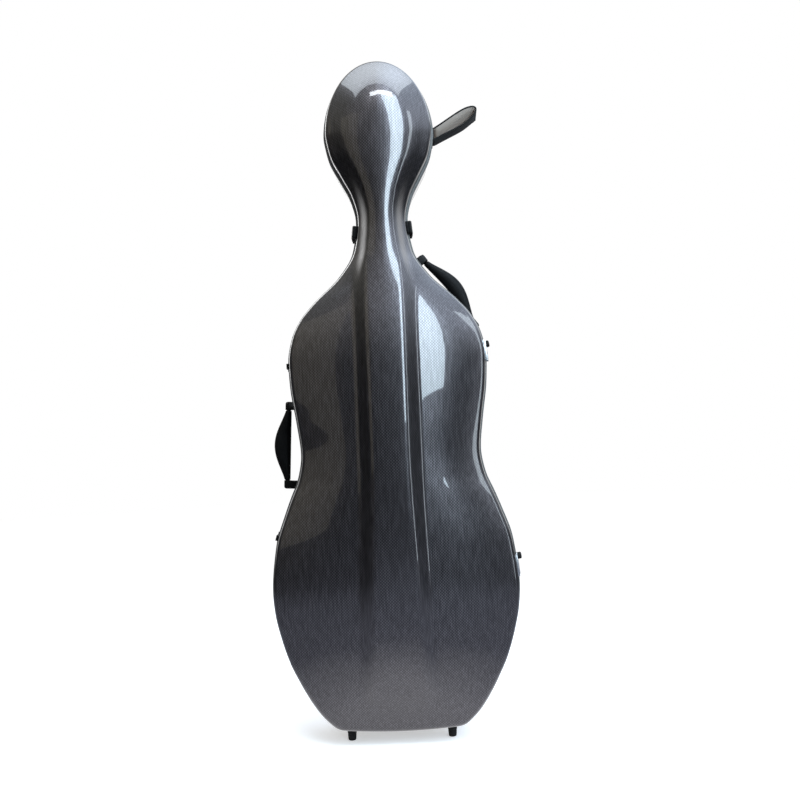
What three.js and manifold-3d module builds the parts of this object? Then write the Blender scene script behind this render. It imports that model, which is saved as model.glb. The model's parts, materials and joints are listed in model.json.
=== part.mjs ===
// Cello hard case: a moulded base shell and lid, hinged along the right side.
// Millimetres, +Z up. The lid faces -Y, the seam lies in one plane and the feet stand on z = 0.
import * as THREE from 'three';
import { mergeVertices } from 'three/addons/utils/BufferGeometryUtils.js';
import Module from 'manifold-3d';

const wasm = await Module();
wasm.setup();

// Heights above the flat bottom of the shell, and half widths of the outline there
const shellHeight = 1332;
const headHeight = 1182;
const neckHeight = 1017;
const upperHeight = 742;
const waistHeight = 557;
const lowerHeight = 284;
const headHalf = 110;
const neckHalf = 51.5;
const upperHalf = 198;
const waistHalf = 179.5;
const lowerHalf = 246.5;
const cornerHalf = 139;
const cornerRadius = 40;
const cornerTurn = Math.PI / 4;
const bottomBow = 5;

// Shell section
const gap = 0.3;
const skin = 3;
const sealThickness = 1;
const sealWidth = 4;
const sealSetBack = 3.3;
const flangeWidth = 5;
const flangeThickness = 5;
const lidDepth = 120;
const lidWallDepth = 28;
const lidFillet = 12;
const baseDepth = 170;
const baseWallDepth = 112;
const baseFillet = 14;
const ridgeHalf = 27;
const headPlatformHalf = 70;
const ridgeSide = 40;
const ridgeRise = 30;
const lidLiningThickness = 4;
const baseLiningThickness = 7;
const liningSetBack = 2;

// Feet
const bottomFootHeight = 22;
const bottomFootSpacing = 203;
const bottomFootTopRadius = 10;
const bottomFootTipRadius = 8;
const bottomFootFlatRadius = 5;
const bottomFootSides = 14;
const frontFootDepth = 20;
const backFootDepth = 98;
const sideFootLength = 17;
const sideFootRadius = 7;
const sideFootFlareRadius = 12;
const sideFootFlare = 7;
const sideFootDepth = 62;
const sideFootSides = 18;
const upperSideFootHeight = 769;
const lowerSideFootHeight = 330;

// Hinges
const hingeLength = 42;
const hingeBarrelRadius = 2.6;
const hingePinRadius = 1.1;
const hingeLeafThickness = 2.6;
const hingeLeafDepth = 24;
const notchMargin = 0.4;

// Carry handles
const gripWidth = 34;
const gripThickness = 22;
const gripNeckWidth = 12;
const gripInnerStep = 5;
const gripStubRadius = 3.2;
const gripStubLength = 7;
const capRadius = 8;
const capLength = 17;
const capEdgeTurn = Math.PI / 6;
const capShoulderShare = 0.85;
const handleDepth = 60;
const sideHandle = {
  top: 662,
  bottom: 488,
  topStandOff: 15,
  bottomStandOff: 22,
  width: gripWidth,
  bow: 0,
};
const shoulderHandle = {
  top: 944,
  bottom: 811,
  topStandOff: 17,
  bottomStandOff: 3,
  width: 30,
  bow: 6,
};

// Latches: the two at the neck are tall and stand out, the two on the bouts are low
const neckLatch = { length: 30, rise: 7.5 };
const boutLatch = { length: 17, rise: 2.6 };
const leftNeckLatchHeight = 996;
const rightNeckLatchHeight = 1002;
const upperLatchHeight = 735;
const lowerLatchHeight = 395;
const latchPinRadius = 1.4;
const latchEyeRadius = 2.6;
const latchPivotDepth = 16;
const latchPlateDepth = 22;
const latchPlateThickness = 2;
const earThickness = 3;
const keeperDepth = 8;

// Head loop
const loopBandWidth = 38;
const loopBandThickness = 3;
const loopReach = 92;
const loopWidest = 60;
const loopRootHalf = 11;
const loopHalf = 14.5;
const loopSlope = 0.44;
const loopStrandShares = [0, 0.14, 0.3, 0.46, 0.62, 0.78, 0.92];
const loopDrop = 136;
const loopDepth = 40;
const loopPlateHeight = 34;
const loopPlateThickness = 4;

// Strap rings on the back
const ringRod = 2;
const ringInnerWidth = 30;
const ringDrop = 22;
const ringPlateWidth = 44;
const ringPlateHeight = 26;
const ringPlateThickness = 3;
const ringTopHeight = 985;
const ringLowerHeight = 300;
const ringLowerHalf = 112;

// Inside the base
const endBlockHeight = 46;
const endBlockHalf = 62;
const endBlockFront = 34;
const endpinRadius = 15;
const endpinDepth = 26;
const cradleHeight = 930;
const cradleLength = 56;
const cradleFront = 16;
const cradleNeckRadius = 23;
const strapWidth = 30;
const strapThickness = 2.5;
const strapCrown = 10;
const lowerPadHeight = 215;
const lowerPadLength = 120;
const lowerPadInner = 128;
const lowerPadFront = 108;
const upperPadHeight = 735;
const upperPadLength = 90;
const upperPadInner = 92;
const upperPadFront = 84;
const pouchHeight = 826;
const pouchLength = 78;
const pouchHalf = 58;
const pouchFront = 68;

// Bow holders inside the lid
const bowHalfSpacing = 74;
const pocketHeight = 150;
const pocketLength = 130;
const pocketWidth = 46;
const pocketRise = 22;
const pocketWall = 3;
const clipHeight = 800;
const clipRadius = 9;
const clipSides = 16;
const clipBaseThickness = 6;
const clipStemRadius = 3;
const clipStemRise = 7;
const clipStemSink = 4;
const clipWingLength = 34;
const clipWingWidth = 9;
const clipWingThickness = 4;

const overrun = 40;
const footLevel = bottomFootHeight;

const shellColour = 0x8e8e98;
const colours = {
  weave: { color: shellColour, roughness: 0.25, metalness: 0.6 },
  black: { color: 0x101012, roughness: 0.55, metalness: 0 },
  rubber: { color: 0x1c1c1e, roughness: 0.85, metalness: 0 },
  steel: { color: 0xa8abb0, roughness: 0.35, metalness: 1 },
  plush: { color: 0x2b2b30, roughness: 1, metalness: 0 },
  webbing: { color: 0x161616, roughness: 0.9, metalness: 0 },
};

const group = new THREE.Group();

function add(name, geometry, look, frame) {
  const mesh = new THREE.Mesh(geometry, new THREE.MeshStandardMaterial(colours[look]));
  mesh.name = name;
  if (frame) {
    frame.decompose(mesh.position, mesh.quaternion, mesh.scale);
  }
  group.add(mesh);
  return mesh;
}

// Solids and booleans
function solidOf(geometry) {
  const bare = geometry.clone();
  bare.deleteAttribute('normal');
  bare.deleteAttribute('uv');
  const merged = mergeVertices(bare);
  return new wasm.Manifold(new wasm.Mesh({
    numProp: 3,
    vertProperties: new Float32Array(merged.attributes.position.array),
    triVerts: new Uint32Array(merged.index.array),
  }));
}

function geometryOf(solid) {
  const mesh = solid.getMesh();
  const geometry = new THREE.BufferGeometry();
  geometry.setAttribute('position', new THREE.BufferAttribute(mesh.vertProperties, 3));
  geometry.setIndex(new THREE.BufferAttribute(mesh.triVerts, 1));
  return geometry;
}

function moved(geometry, matrix) {
  return geometry.clone().applyMatrix4(matrix);
}

function joined(geometries) {
  return geometries.map(solidOf).reduce((whole, piece) => whole.add(piece));
}

function cutFrom(solid, geometries) {
  return geometries.map(solidOf).reduce((rest, piece) => rest.subtract(piece), solid);
}

// A box between two corners
function block(x0, x1, y0, y1, z0, z1) {
  const geometry = new THREE.BoxGeometry(x1 - x0, y1 - y0, z1 - z0);
  return geometry.translate((x0 + x1) / 2, (y0 + y1) / 2, (z0 + z1) / 2);
}

// A round bar between two points
function bar(from, to, radius, sides = 12) {
  const way = new THREE.Vector3().subVectors(to, from);
  const geometry = new THREE.CylinderGeometry(radius, radius, way.length(), sides);
  const upright = new THREE.Vector3(0, 1, 0);
  const turn = new THREE.Quaternion().setFromUnitVectors(upright, way.clone().normalize());
  geometry.applyQuaternion(turn);
  return geometry.translate((from.x + to.x) / 2, (from.y + to.y) / 2, (from.z + to.z) / 2);
}

// Rings of equal length, one after the other, become one closed skin. The order of the rings
// decides which side is out, so a skin that comes out inside out is turned.
function loft(rings, capped) {
  const count = rings[0].length;
  const positions = rings.flat().flatMap((point) => [point.x, point.y, point.z]);
  const triangles = [];
  for (let ring = 0; ring + 1 < rings.length; ring += 1) {
    for (let i = 0; i < count; i += 1) {
      const a = ring * count + i;
      const b = ring * count + ((i + 1) % count);
      triangles.push(a, b, b + count, a, b + count, a + count);
    }
  }
  if (capped) {
    for (let i = 1; i + 1 < count; i += 1) {
      const last = (rings.length - 1) * count;
      triangles.push(0, i + 1, i, last, last + i, last + i + 1);
    }
  }
  const geometry = new THREE.BufferGeometry();
  geometry.setAttribute('position', new THREE.Float32BufferAttribute(positions, 3));
  geometry.setIndex(triangles);
  return turnedOut(mergeVertices(geometry));
}

function turnedOut(geometry) {
  const position = geometry.attributes.position;
  const index = Array.from(geometry.index.array);
  const [a, b, c] = [new THREE.Vector3(), new THREE.Vector3(), new THREE.Vector3()];
  const kept = [];
  let volume = 0;
  for (let i = 0; i < index.length; i += 3) {
    const corners = index.slice(i, i + 3);
    if (new Set(corners).size === 3) {
      a.fromBufferAttribute(position, corners[0]);
      b.fromBufferAttribute(position, corners[1]);
      c.fromBufferAttribute(position, corners[2]);
      volume += a.dot(b.cross(c));
      kept.push(...corners);
    }
  }
  if (volume < 0) {
    kept.reverse();
  }
  geometry.setIndex(kept);
  return geometry;
}

// A smooth curve through a table of rows [height, value], falling in height, level at its extremes
function smoothThrough(rows) {
  const steps = rows.slice(1).map((row, i) => (row[1] - rows[i][1]) / (row[0] - rows[i][0]));
  const slopes = rows.map((row, i) => {
    const [before, after] = [steps[i - 1] ?? steps[i], steps[i] ?? steps[i - 1]];
    return before * after <= 0 ? 0 : (2 * before * after) / (before + after);
  });
  return (height) => {
    let i = 0;
    while (i < rows.length - 2 && height < rows[i + 1][0]) {
      i += 1;
    }
    const span = rows[i + 1][0] - rows[i][0];
    const t = THREE.MathUtils.clamp((height - rows[i][0]) / span, 0, 1);
    const ease = t * t * (3 - 2 * t);
    const bend = t * (1 - t) * span;
    return rows[i][1] + (rows[i + 1][1] - rows[i][1]) * ease
      + bend * (slopes[i] * (1 - t) - slopes[i + 1] * t);
  };
}

// Outline: level at the head, neck, bouts and waist. Each span between two of them is drawn by
// shares of its drop and of its change of half width.
const cornerRise = cornerRadius * (1 - Math.cos(cornerTurn));
const outlineSpans = [
  { from: [headHeight, headHalf], bendShares: [[0.25, 0.15], [0.5, 0.5], [0.75, 0.85]], samples: 4 },
  {
    from: [neckHeight, neckHalf],
    bendShares: [[0.22, 0.06], [0.4, 0.27], [0.57, 0.61], [0.7, 0.82], [0.83, 0.94]],
    samples: 7,
  },
  { from: [upperHeight, upperHalf], bendShares: [[0.27, 0.11], [0.66, 0.65]], samples: 3 },
  {
    from: [waistHeight, waistHalf],
    bendShares: [[0.165, 0.112], [0.297, 0.336], [0.43, 0.55], [0.65, 0.845]],
    samples: 5,
  },
  {
    from: [lowerHeight, lowerHalf],
    bendShares: [
      [0.154, 0.028], [0.31, 0.107], [0.53, 0.274], [0.66, 0.423], [0.794, 0.6], [0.926, 0.82],
    ],
    samples: 5,
  },
];
// The bottom sags a little between the corners: shares of the way from the middle to a corner
const bottomSpanShares = [0.5, 0];
const outlineEnd = [bottomBow + cornerRise, cornerHalf];
const outlineRows = outlineSpans.flatMap((span, k) => {
  const to = outlineSpans[k + 1]?.from ?? outlineEnd;
  const bends = span.bendShares.map(([down, out]) => [
    THREE.MathUtils.lerp(span.from[0], to[0], down),
    THREE.MathUtils.lerp(span.from[1], to[1], out),
  ]);
  return [span.from, ...bends];
});
outlineRows.push(outlineEnd);
const flankHalf = smoothThrough(outlineRows);

function halfWidthAt(height) {
  if (height > headHeight) {
    const up = Math.min(1, (height - headHeight) / (shellHeight - headHeight));
    return headHalf * Math.sqrt(1 - up * up);
  }
  return flankHalf(height);
}

function outlinePoint(half, height) {
  return new THREE.Vector3(half, 0, footLevel + height);
}

// The right half of the outline, from the top of the head to the middle of the bottom
function rightOutline() {
  const points = [];
  const headSamples = 7;
  for (let i = 0; i < headSamples; i += 1) {
    const turn = (Math.PI / 2) * (i / headSamples);
    const rise = (shellHeight - headHeight) * Math.cos(turn);
    points.push(outlinePoint(headHalf * Math.sin(turn), headHeight + rise));
  }
  outlineSpans.forEach((span, k) => {
    const to = outlineSpans[k + 1]?.from ?? outlineEnd;
    for (let i = 0; i < span.samples; i += 1) {
      const height = THREE.MathUtils.lerp(span.from[0], to[0], i / span.samples);
      points.push(outlinePoint(flankHalf(height), height));
    }
  });
  const cornerCentre = cornerHalf - cornerRadius * Math.sin(cornerTurn);
  const cornerSamples = 2;
  for (let i = 0; i <= cornerSamples; i += 1) {
    const turn = cornerTurn * (1 - i / cornerSamples);
    const half = cornerCentre + cornerRadius * Math.sin(turn);
    points.push(outlinePoint(half, bottomBow + cornerRadius * (1 - Math.cos(turn))));
  }
  bottomSpanShares.forEach((share) => {
    points.push(outlinePoint(cornerCentre * share, bottomBow * share ** 2));
  });
  return points;
}

const rightSide = rightOutline();
const mirrored = new THREE.Vector3(-1, 1, 1);
const leftSide = rightSide.slice(1, -1).reverse().map((point) => point.clone().multiply(mirrored));
const outline = [...rightSide, ...leftSide];
const outlineCount = outline.length;

// Inward directions whose length keeps the inset edges parallel to the outline's edges
const inwards = outline.map((point, i) => {
  const before = outline[(i + outlineCount - 1) % outlineCount];
  const after = outline[(i + 1) % outlineCount];
  const [p, q] = [[before, point], [point, after]].map(([from, to]) => {
    const edge = new THREE.Vector3().subVectors(to, from).normalize();
    return new THREE.Vector3(edge.z, 0, -edge.x);
  });
  const middle = new THREE.Vector3().addVectors(p, q).normalize();
  return middle.multiplyScalar(-1 / middle.dot(p));
});
const inwardSign = Math.sign(-inwards[0].z);
inwards.forEach((inward) => inward.multiplyScalar(inwardSign));

function insetPoint(i, distance) {
  return outline[i].clone().addScaledVector(inwards[i], distance);
}

// The spine: each point of the outline has a partner on the centre line, close to its own height,
// drawn together at the head and the bottom so that the ribs fan out there
const spineTopShare = 0.915;
const spineBottomShare = 0.135;
const spineFanShare = 0.12;
const spineEaseShare = 0.035;
const walked = [0];
for (let i = 1; i < rightSide.length; i += 1) {
  walked.push(walked[i - 1] + rightSide[i].distanceTo(rightSide[i - 1]));
}
const spineTop = footLevel + shellHeight * spineTopShare;
const spineBottom = footLevel + shellHeight * spineBottomShare;
const spineEase = shellHeight * spineEaseShare;

// Follows a height, and turns off gently below the spine's lower end and above its upper one
function easedHeight(height) {
  const above = spineBottom + spineEase * Math.log1p(Math.exp((height - spineBottom) / spineEase));
  return spineTop - spineEase * Math.log1p(Math.exp((spineTop - above) / spineEase));
}

const spineHeights = rightSide.map((point, i) => {
  const fan = THREE.MathUtils.lerp(spineTop, spineBottom, walked[i] / walked[walked.length - 1]);
  return THREE.MathUtils.lerp(easedHeight(point.z), fan, spineFanShare);
});

function spinePoint(i) {
  const partner = i < rightSide.length ? i : outlineCount - i;
  return new THREE.Vector3(0, 0, spineHeights[partner]);
}

// Depth of each shell at its spine, as shares of the full depth: top, head, neck, upper bout,
// waist, lower bout, bottom
const stationHeights = [shellHeight, headHeight, neckHeight, upperHeight, waistHeight, lowerHeight, 0];

function alongCase(shares) {
  return smoothThrough(stationHeights.map((height, i) => [height, shares[i]]));
}

const lidDepthShares = alongCase([0.6, 0.68, 0.65, 0.97, 1, 0.96, 0.5]);
const lidWallShares = alongCase([0.85, 0.85, 0.75, 1, 1, 1, 0.65]);
const baseDepthShares = alongCase([0.58, 0.64, 0.58, 0.86, 0.96, 1, 0.82]);
const baseWallShares = alongCase([0.7, 0.78, 0.72, 0.86, 0.96, 1, 0.94]);
const ridgeRiseShares = alongCase([0.2, 0.3, 0.6, 0.9, 1, 0.85, 0]);
const ridgeHalfShares = alongCase([1, 1, 0, 0, 0, 0.2, 0.4]);

const lid = {
  side: -1,
  fillet: lidFillet,
  archPower: 2.2,
  wall: (height) => lidWallDepth * lidWallShares(height),
  total: (height) => lidDepth * lidDepthShares(height),
  ridge: (height) => ridgeRise * ridgeRiseShares(height),
};
const base = {
  side: 1,
  fillet: baseFillet,
  archPower: 3,
  wall: (height) => baseWallDepth * baseWallShares(height),
  total: (height) => baseDepth * baseDepthShares(height),
  ridge: () => 0,
};

function ridgeHalfAt(height) {
  return THREE.MathUtils.lerp(ridgeHalf, headPlatformHalf, ridgeHalfShares(height));
}

// The ridge fades out over this share of the way from the edge
const ridgeFadeShare = 0.5;

// Depth of a shell's face at a point that lies a share of the way from its edge to the spine
function faceDepth(shell, x, height, share) {
  const rise = shell.total(height) - shell.wall(height) - shell.fillet - shell.ridge(height);
  const arch = rise * (1 - (1 - share) ** shell.archPower);
  const off = (Math.abs(x) - ridgeHalfAt(height)) / ridgeSide;
  const onRidge = 1 - THREE.MathUtils.smoothstep(off, 0, 1);
  const fade = THREE.MathUtils.smoothstep(share, 0, ridgeFadeShare);
  return shell.wall(height) + shell.fillet + arch + shell.ridge(height) * onRidge * fade;
}

// Shares of the way to the spine at which a rib bends: along the ridge's sides on the lid
const baseBendShares = [0.12, 0.32, 0.62, 1];
const widestCreaseShare = 0.75;
const widestRidgeShare = 0.45;

function bendShares(shell, i) {
  if (shell.side > 0) {
    return baseBendShares;
  }
  const edge = Math.abs(insetPoint(i, flangeWidth + shell.fillet).x);
  const height = outline[i].z - footLevel;
  const creaseShare = 1 - Math.min((ridgeHalfAt(height) + ridgeSide) / edge, widestCreaseShare);
  const ridgeShare = 1 - Math.min(ridgeHalfAt(height) / edge, widestRidgeShare);
  return [creaseShare / 2, creaseShare, (creaseShare + ridgeShare) / 2, ridgeShare, 1];
}

// Rings of one face of a shell, from the seam to the spine, grown outward or, below zero, inward
const slopeAllowance = 1.1;

function faceRings(shell, grow, seamStep, withFlange) {
  const rings = [];
  const ring = (place) => rings.push(outline.map((_, i) => place(i)));
  const edgeInset = flangeWidth - grow;
  const wallEnd = (i) => shell.wall(outline[i].z - footLevel);
  const at = (i, inset, depth) => insetPoint(i, inset).setY(shell.side * depth);
  const flangeBack = sealThickness / 2 + gap + flangeThickness + grow;
  if (withFlange) {
    ring((i) => at(i, -grow, seamStep));
    ring((i) => at(i, -grow, flangeBack));
    ring((i) => at(i, edgeInset, flangeBack));
  } else {
    ring((i) => at(i, edgeInset, seamStep));
  }
  ring((i) => at(i, edgeInset, wallEnd(i)));
  const turns = grow > -skin ? 2 : 1;
  const radius = shell.fillet + grow;
  for (let k = 1; k <= turns; k += 1) {
    const turn = (Math.PI / 2) * (k / turns);
    ring((i) => at(i, edgeInset + radius * (1 - Math.cos(turn)), wallEnd(i) + radius * Math.sin(turn)));
  }
  for (let k = 0; k < bendShares(shell, 0).length; k += 1) {
    ring((i) => {
      const from = insetPoint(i, flangeWidth + shell.fillet);
      const share = bendShares(shell, i)[k];
      const point = from.lerp(spinePoint(i), share);
      const depth = faceDepth(shell, point.x, point.z - footLevel, share) + grow * slopeAllowance;
      return point.setY(shell.side * depth);
    });
  }
  return rings;
}

const seamStep = sealThickness / 2 + gap;

function shellGeometry(shell) {
  const outer = faceRings(shell, 0, seamStep, true);
  const inner = faceRings(shell, -skin, seamStep, false);
  return loft([...inner.reverse(), ...outer], false);
}

function liningGeometry(shell, thickness) {
  const outer = faceRings(shell, -(skin + gap), liningSetBack, false);
  const inner = faceRings(shell, -(skin + gap + thickness), liningSetBack, false);
  return loft([...outer.reverse(), ...inner], false);
}

// The whole space under a face, down to a plane beside the seam
function filledGeometry(shell, grow, withFlange, plane) {
  const rings = faceRings(shell, grow, plane, withFlange);
  const floor = outline.map((_, i) => spinePoint(i).setY(shell.side * plane));
  return loft([floor, ...rings], false);
}

// Anything cut by these stands a gap off the shell
const baseBody = filledGeometry(base, gap, true, 0);
const lidBody = filledGeometry(lid, gap, true, 0);
// Anything kept inside these stands a gap off the lining
const baseRoom = filledGeometry(base, -(skin + 2 * gap + baseLiningThickness), false, liningSetBack);
const lidRoom = filledGeometry(lid, -(skin + 2 * gap + lidLiningThickness), false, liningSetBack);

function inRoom(room, geometry) {
  return solidOf(geometry).intersect(solidOf(room));
}

// A place on the side of the case: x out, y towards the back, z along the outline, origin on the rim
function rimFrame(height, side) {
  const step = shellHeight / 1000;
  const rise = (halfWidthAt(height + step) - halfWidthAt(height - step)) / (2 * step);
  const out = new THREE.Vector3(side, 0, -rise).normalize();
  const back = new THREE.Vector3(0, 1, 0);
  const along = new THREE.Vector3().crossVectors(out, back);
  const origin = outlinePoint(side * halfWidthAt(height), height);
  return new THREE.Matrix4().makeBasis(out, back, along).setPosition(origin);
}

function seated(solid, frame, bodies) {
  const inverse = frame.clone().invert();
  return cutFrom(solid, bodies.map((body) => moved(body, inverse)));
}

// Hinge line: the straight line that touches both right bouts
function hingeLine() {
  const samples = 400;
  const heights = Array.from({ length: samples }, (_, i) => (
    THREE.MathUtils.lerp(lowerHeight, headHeight, i / samples)
  ));
  const lowers = heights.filter((height) => height < waistHeight);
  const uppers = heights.filter((height) => height > waistHeight && height < neckHeight);
  let slope = (lowerHalf - upperHalf) / (upperHeight - lowerHeight);
  let [low, high] = [lowerHeight, upperHeight];
  for (let turn = 0; turn < 6; turn += 1) {
    const reach = (height) => halfWidthAt(height) + slope * height;
    low = lowers.reduce((best, height) => (reach(height) > reach(best) ? height : best));
    high = uppers.reduce((best, height) => (reach(height) > reach(best) ? height : best));
    slope = (halfWidthAt(low) - halfWidthAt(high)) / (high - low);
  }
  return { low, high };
}

const line = hingeLine();
const hingeFoot = outlinePoint(halfWidthAt(line.low), line.low);
const hingeHead = outlinePoint(halfWidthAt(line.high), line.high);
const hingeUp = new THREE.Vector3().subVectors(hingeHead, hingeFoot).normalize();
const hingeBack = new THREE.Vector3(0, 1, 0);
const hingeOut = new THREE.Vector3().crossVectors(hingeBack, hingeUp);

function hingeFrame(point) {
  return new THREE.Matrix4().makeBasis(hingeOut, hingeBack, hingeUp).setPosition(point);
}

const hingeFrames = { upper: hingeFrame(hingeHead), lower: hingeFrame(hingeFoot) };
const notchReach = hingeBarrelRadius + notchMargin;
const notchDepth = seamStep + flangeThickness + gap;

function hingeNotches() {
  const half = hingeLength / 2 + notchMargin;
  const cut = block(-notchReach, overrun, -notchDepth, notchDepth, -half, half);
  return Object.values(hingeFrames).map((frame) => moved(cut, frame));
}

// Shells, seal and linings
function addShells() {
  add('base_shell', geometryOf(cutFrom(solidOf(shellGeometry(base)), hingeNotches())), 'weave');
  add('lid_shell', geometryOf(cutFrom(solidOf(shellGeometry(lid)), hingeNotches())), 'weave');
  const corners = [
    [sealSetBack, -1],
    [sealSetBack, 1],
    [sealSetBack + sealWidth, 1],
    [sealSetBack + sealWidth, -1],
    [sealSetBack, -1],
  ];
  const half = sealThickness / 2;
  const rings = corners.map(([inset, sign]) => outline.map((_, i) => insetPoint(i, inset).setY(sign * half)));
  add('rim_seal', loft(rings, false), 'rubber');
  add('base_lining', liningGeometry(base, baseLiningThickness), 'plush');
  add('lid_lining', liningGeometry(lid, lidLiningThickness), 'plush');
}

// Hinges: the base leaf carries the two end knuckles, the lid leaf the middle one
function hingeLeaf(side, spans) {
  const half = hingeLength / 2;
  const face = -(flangeWidth - gap - hingeLeafThickness);
  const plateStart = notchDepth + gap;
  const plate = block(-flangeWidth - skin, face, plateStart, plateStart + hingeLeafDepth, -half, half);
  const pieces = [plate];
  spans.forEach(([from, to]) => {
    pieces.push(block(-hingeBarrelRadius, face + gap, 0, plateStart + gap, from, to));
    pieces.push(bar(new THREE.Vector3(0, 0, from), new THREE.Vector3(0, 0, to), hingeBarrelRadius));
  });
  const mirror = new THREE.Matrix4().makeRotationZ(side > 0 ? 0 : Math.PI);
  const flip = new THREE.Matrix4().makeRotationY(side > 0 ? 0 : Math.PI);
  return pieces.map((piece) => moved(piece, flip.clone().multiply(mirror)));
}

function addHinges() {
  const half = hingeLength / 2;
  const third = hingeLength / 6;
  const baseSpans = [[-half, -third - gap / 2], [third + gap / 2, half]];
  const lidSpans = [[-third + gap / 2, third - gap / 2]];
  const axle = (reach, radius) => bar(
    new THREE.Vector3(0, 0, -reach),
    new THREE.Vector3(0, 0, reach),
    radius,
  );
  const bore = axle(half + gap, hingePinRadius + gap);
  const pin = axle(half, hingePinRadius);
  Object.entries(hingeFrames).forEach(([place, frame]) => {
    const baseLeaf = cutFrom(joined(hingeLeaf(1, baseSpans)), [bore]);
    const lidLeaf = cutFrom(joined(hingeLeaf(-1, lidSpans)), [bore]);
    add(`hinge_${place}_base_leaf`, geometryOf(seated(baseLeaf, frame, [baseBodyNotched])), 'steel', frame);
    add(`hinge_${place}_lid_leaf`, geometryOf(seated(lidLeaf, frame, [lidBodyNotched])), 'steel', frame);
    add(`hinge_${place}_pin`, pin.clone(), 'steel', frame);
  });
}

const baseBodyNotched = geometryOf(cutFrom(solidOf(baseBody), hingeNotches()));
const lidBodyNotched = geometryOf(cutFrom(solidOf(lidBody), hingeNotches()));

// Feet
function turnedProfile(rows, sides) {
  return new THREE.LatheGeometry(rows.map(([radius, rise]) => new THREE.Vector2(radius, rise)), sides);
}

function addFeet() {
  const top = bottomFootHeight + bottomBow + flangeWidth + skin;
  const round = bottomFootTipRadius - bottomFootFlatRadius;
  const foot = turnedProfile([
    [0, 0],
    [bottomFootFlatRadius, 0],
    [bottomFootFlatRadius + round * Math.SQRT1_2, round * (1 - Math.SQRT1_2)],
    [bottomFootTipRadius, round],
    [bottomFootTopRadius, bottomFootHeight + bottomBow - round],
    [bottomFootTopRadius, top],
    [0, top],
  ], bottomFootSides);
  foot.rotateX(Math.PI / 2);
  const depths = { front: frontFootDepth, back: backFootDepth };
  Object.entries(depths).forEach(([row, depth]) => {
    [['left', -1], ['right', 1]].forEach(([hand, side]) => {
      const frame = new THREE.Matrix4().setPosition((side * bottomFootSpacing) / 2, depth, 0);
      const trimmed = seated(solidOf(foot), frame, [baseBody]);
      add(`bottom_foot_${row}_${hand}`, geometryOf(trimmed), 'rubber', frame);
    });
  });
  const sideFoot = turnedProfile([
    [0, -flangeWidth - skin],
    [sideFootFlareRadius, -flangeWidth - skin],
    [sideFootFlareRadius, -flangeWidth + gap * 2],
    [sideFootRadius, sideFootFlare - flangeWidth],
    [sideFootRadius, sideFootLength - gap],
    [sideFootRadius - gap, sideFootLength],
    [0, sideFootLength],
  ], sideFootSides);
  sideFoot.rotateZ(-Math.PI / 2);
  sideFoot.translate(0, sideFootDepth, 0);
  [['upper', upperSideFootHeight], ['lower', lowerSideFootHeight]].forEach(([place, height]) => {
    const frame = rimFrame(height, 1);
    add(`side_foot_${place}`, geometryOf(seated(solidOf(sideFoot), frame, [baseBody])), 'rubber', frame);
  });
}

// Carry handles: a crescent grip that swings between two capped brackets.
// Handle frame: z from the lower to the upper pivot, x out of the case, y towards the back.
function handleFrame(size, side) {
  const ends = [[size.top, size.topStandOff], [size.bottom, size.bottomStandOff]];
  const [upper, lower] = ends.map(([height, standOff]) => (
    new THREE.Vector3(standOff, handleDepth, 0).applyMatrix4(rimFrame(height, side))
  ));
  const up = new THREE.Vector3().subVectors(upper, lower);
  const span = up.length();
  up.normalize();
  const across = new THREE.Vector3(0, side, 0);
  const out = new THREE.Vector3().crossVectors(across, up).normalize();
  const centre = new THREE.Vector3().addVectors(upper, lower).multiplyScalar(0.5);
  return { frame: new THREE.Matrix4().makeBasis(out, across, up).setPosition(centre), span };
}

function gripGeometry(span, width, bow) {
  const half = span / 2 - capLength / 2 - gap;
  const steps = 12;
  const sides = 12;
  const rings = [];
  for (let k = 0; k <= steps; k += 1) {
    const along = (2 * k) / steps - 1;
    const swell = Math.cos((Math.PI / 2) * along) ** 1.3;
    const wide = THREE.MathUtils.lerp(gripNeckWidth, width, swell) / 2;
    const thick = THREE.MathUtils.lerp(gripNeckWidth, gripThickness, Math.sqrt(swell)) / 2;
    rings.push(Array.from({ length: sides }, (_, j) => {
      const turn = (2 * Math.PI * j) / sides;
      return new THREE.Vector3(
        wide + bow * swell - gripInnerStep + wide * Math.cos(turn),
        thick * Math.sin(turn),
        half * along,
      );
    }));
  }
  const stubs = [-1, 1].map((end) => bar(
    new THREE.Vector3(0, 0, end * (half - gap)),
    new THREE.Vector3(0, 0, end * (half + gripStubLength)),
    gripStubRadius,
  ));
  return geometryOf(joined([loft(rings, true), ...stubs]));
}

function bracketGeometry(span, end, frame) {
  const middle = (end * span) / 2;
  const half = capLength / 2;
  const cap = turnedProfile([
    [0, -half],
    [capRadius - 2 * gap, -half],
    [capRadius, -half + 2 * gap],
    [capRadius, half / 2],
    [capRadius * Math.cos(capEdgeTurn), half * capShoulderShare],
    [capRadius / 2, half],
    [0, half],
  ], 16);
  cap.rotateX(Math.PI / 2);
  if (end < 0) {
    cap.rotateX(Math.PI);
  }
  cap.translate(0, 0, middle);
  const foot = block(-overrun, 0, -capRadius, capRadius, middle - half + gap, middle + half - gap);
  const socket = bar(
    new THREE.Vector3(0, 0, middle - end * (half + gap)),
    new THREE.Vector3(0, 0, middle - end * (half - gripStubLength - gap)),
    gripStubRadius + gap,
  );
  const solid = cutFrom(joined([cap, foot]), [socket]);
  return seated(solid, frame, [baseBody]);
}

function addHandle(name, size, side) {
  const { frame, span } = handleFrame(size, side);
  add(`${name}_grip`, gripGeometry(span, size.width, size.bow), 'black', frame);
  add(`${name}_upper_bracket`, geometryOf(bracketGeometry(span, 1, frame)), 'black', frame);
  add(`${name}_lower_bracket`, geometryOf(bracketGeometry(span, -1, frame)), 'black', frame);
}

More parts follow.
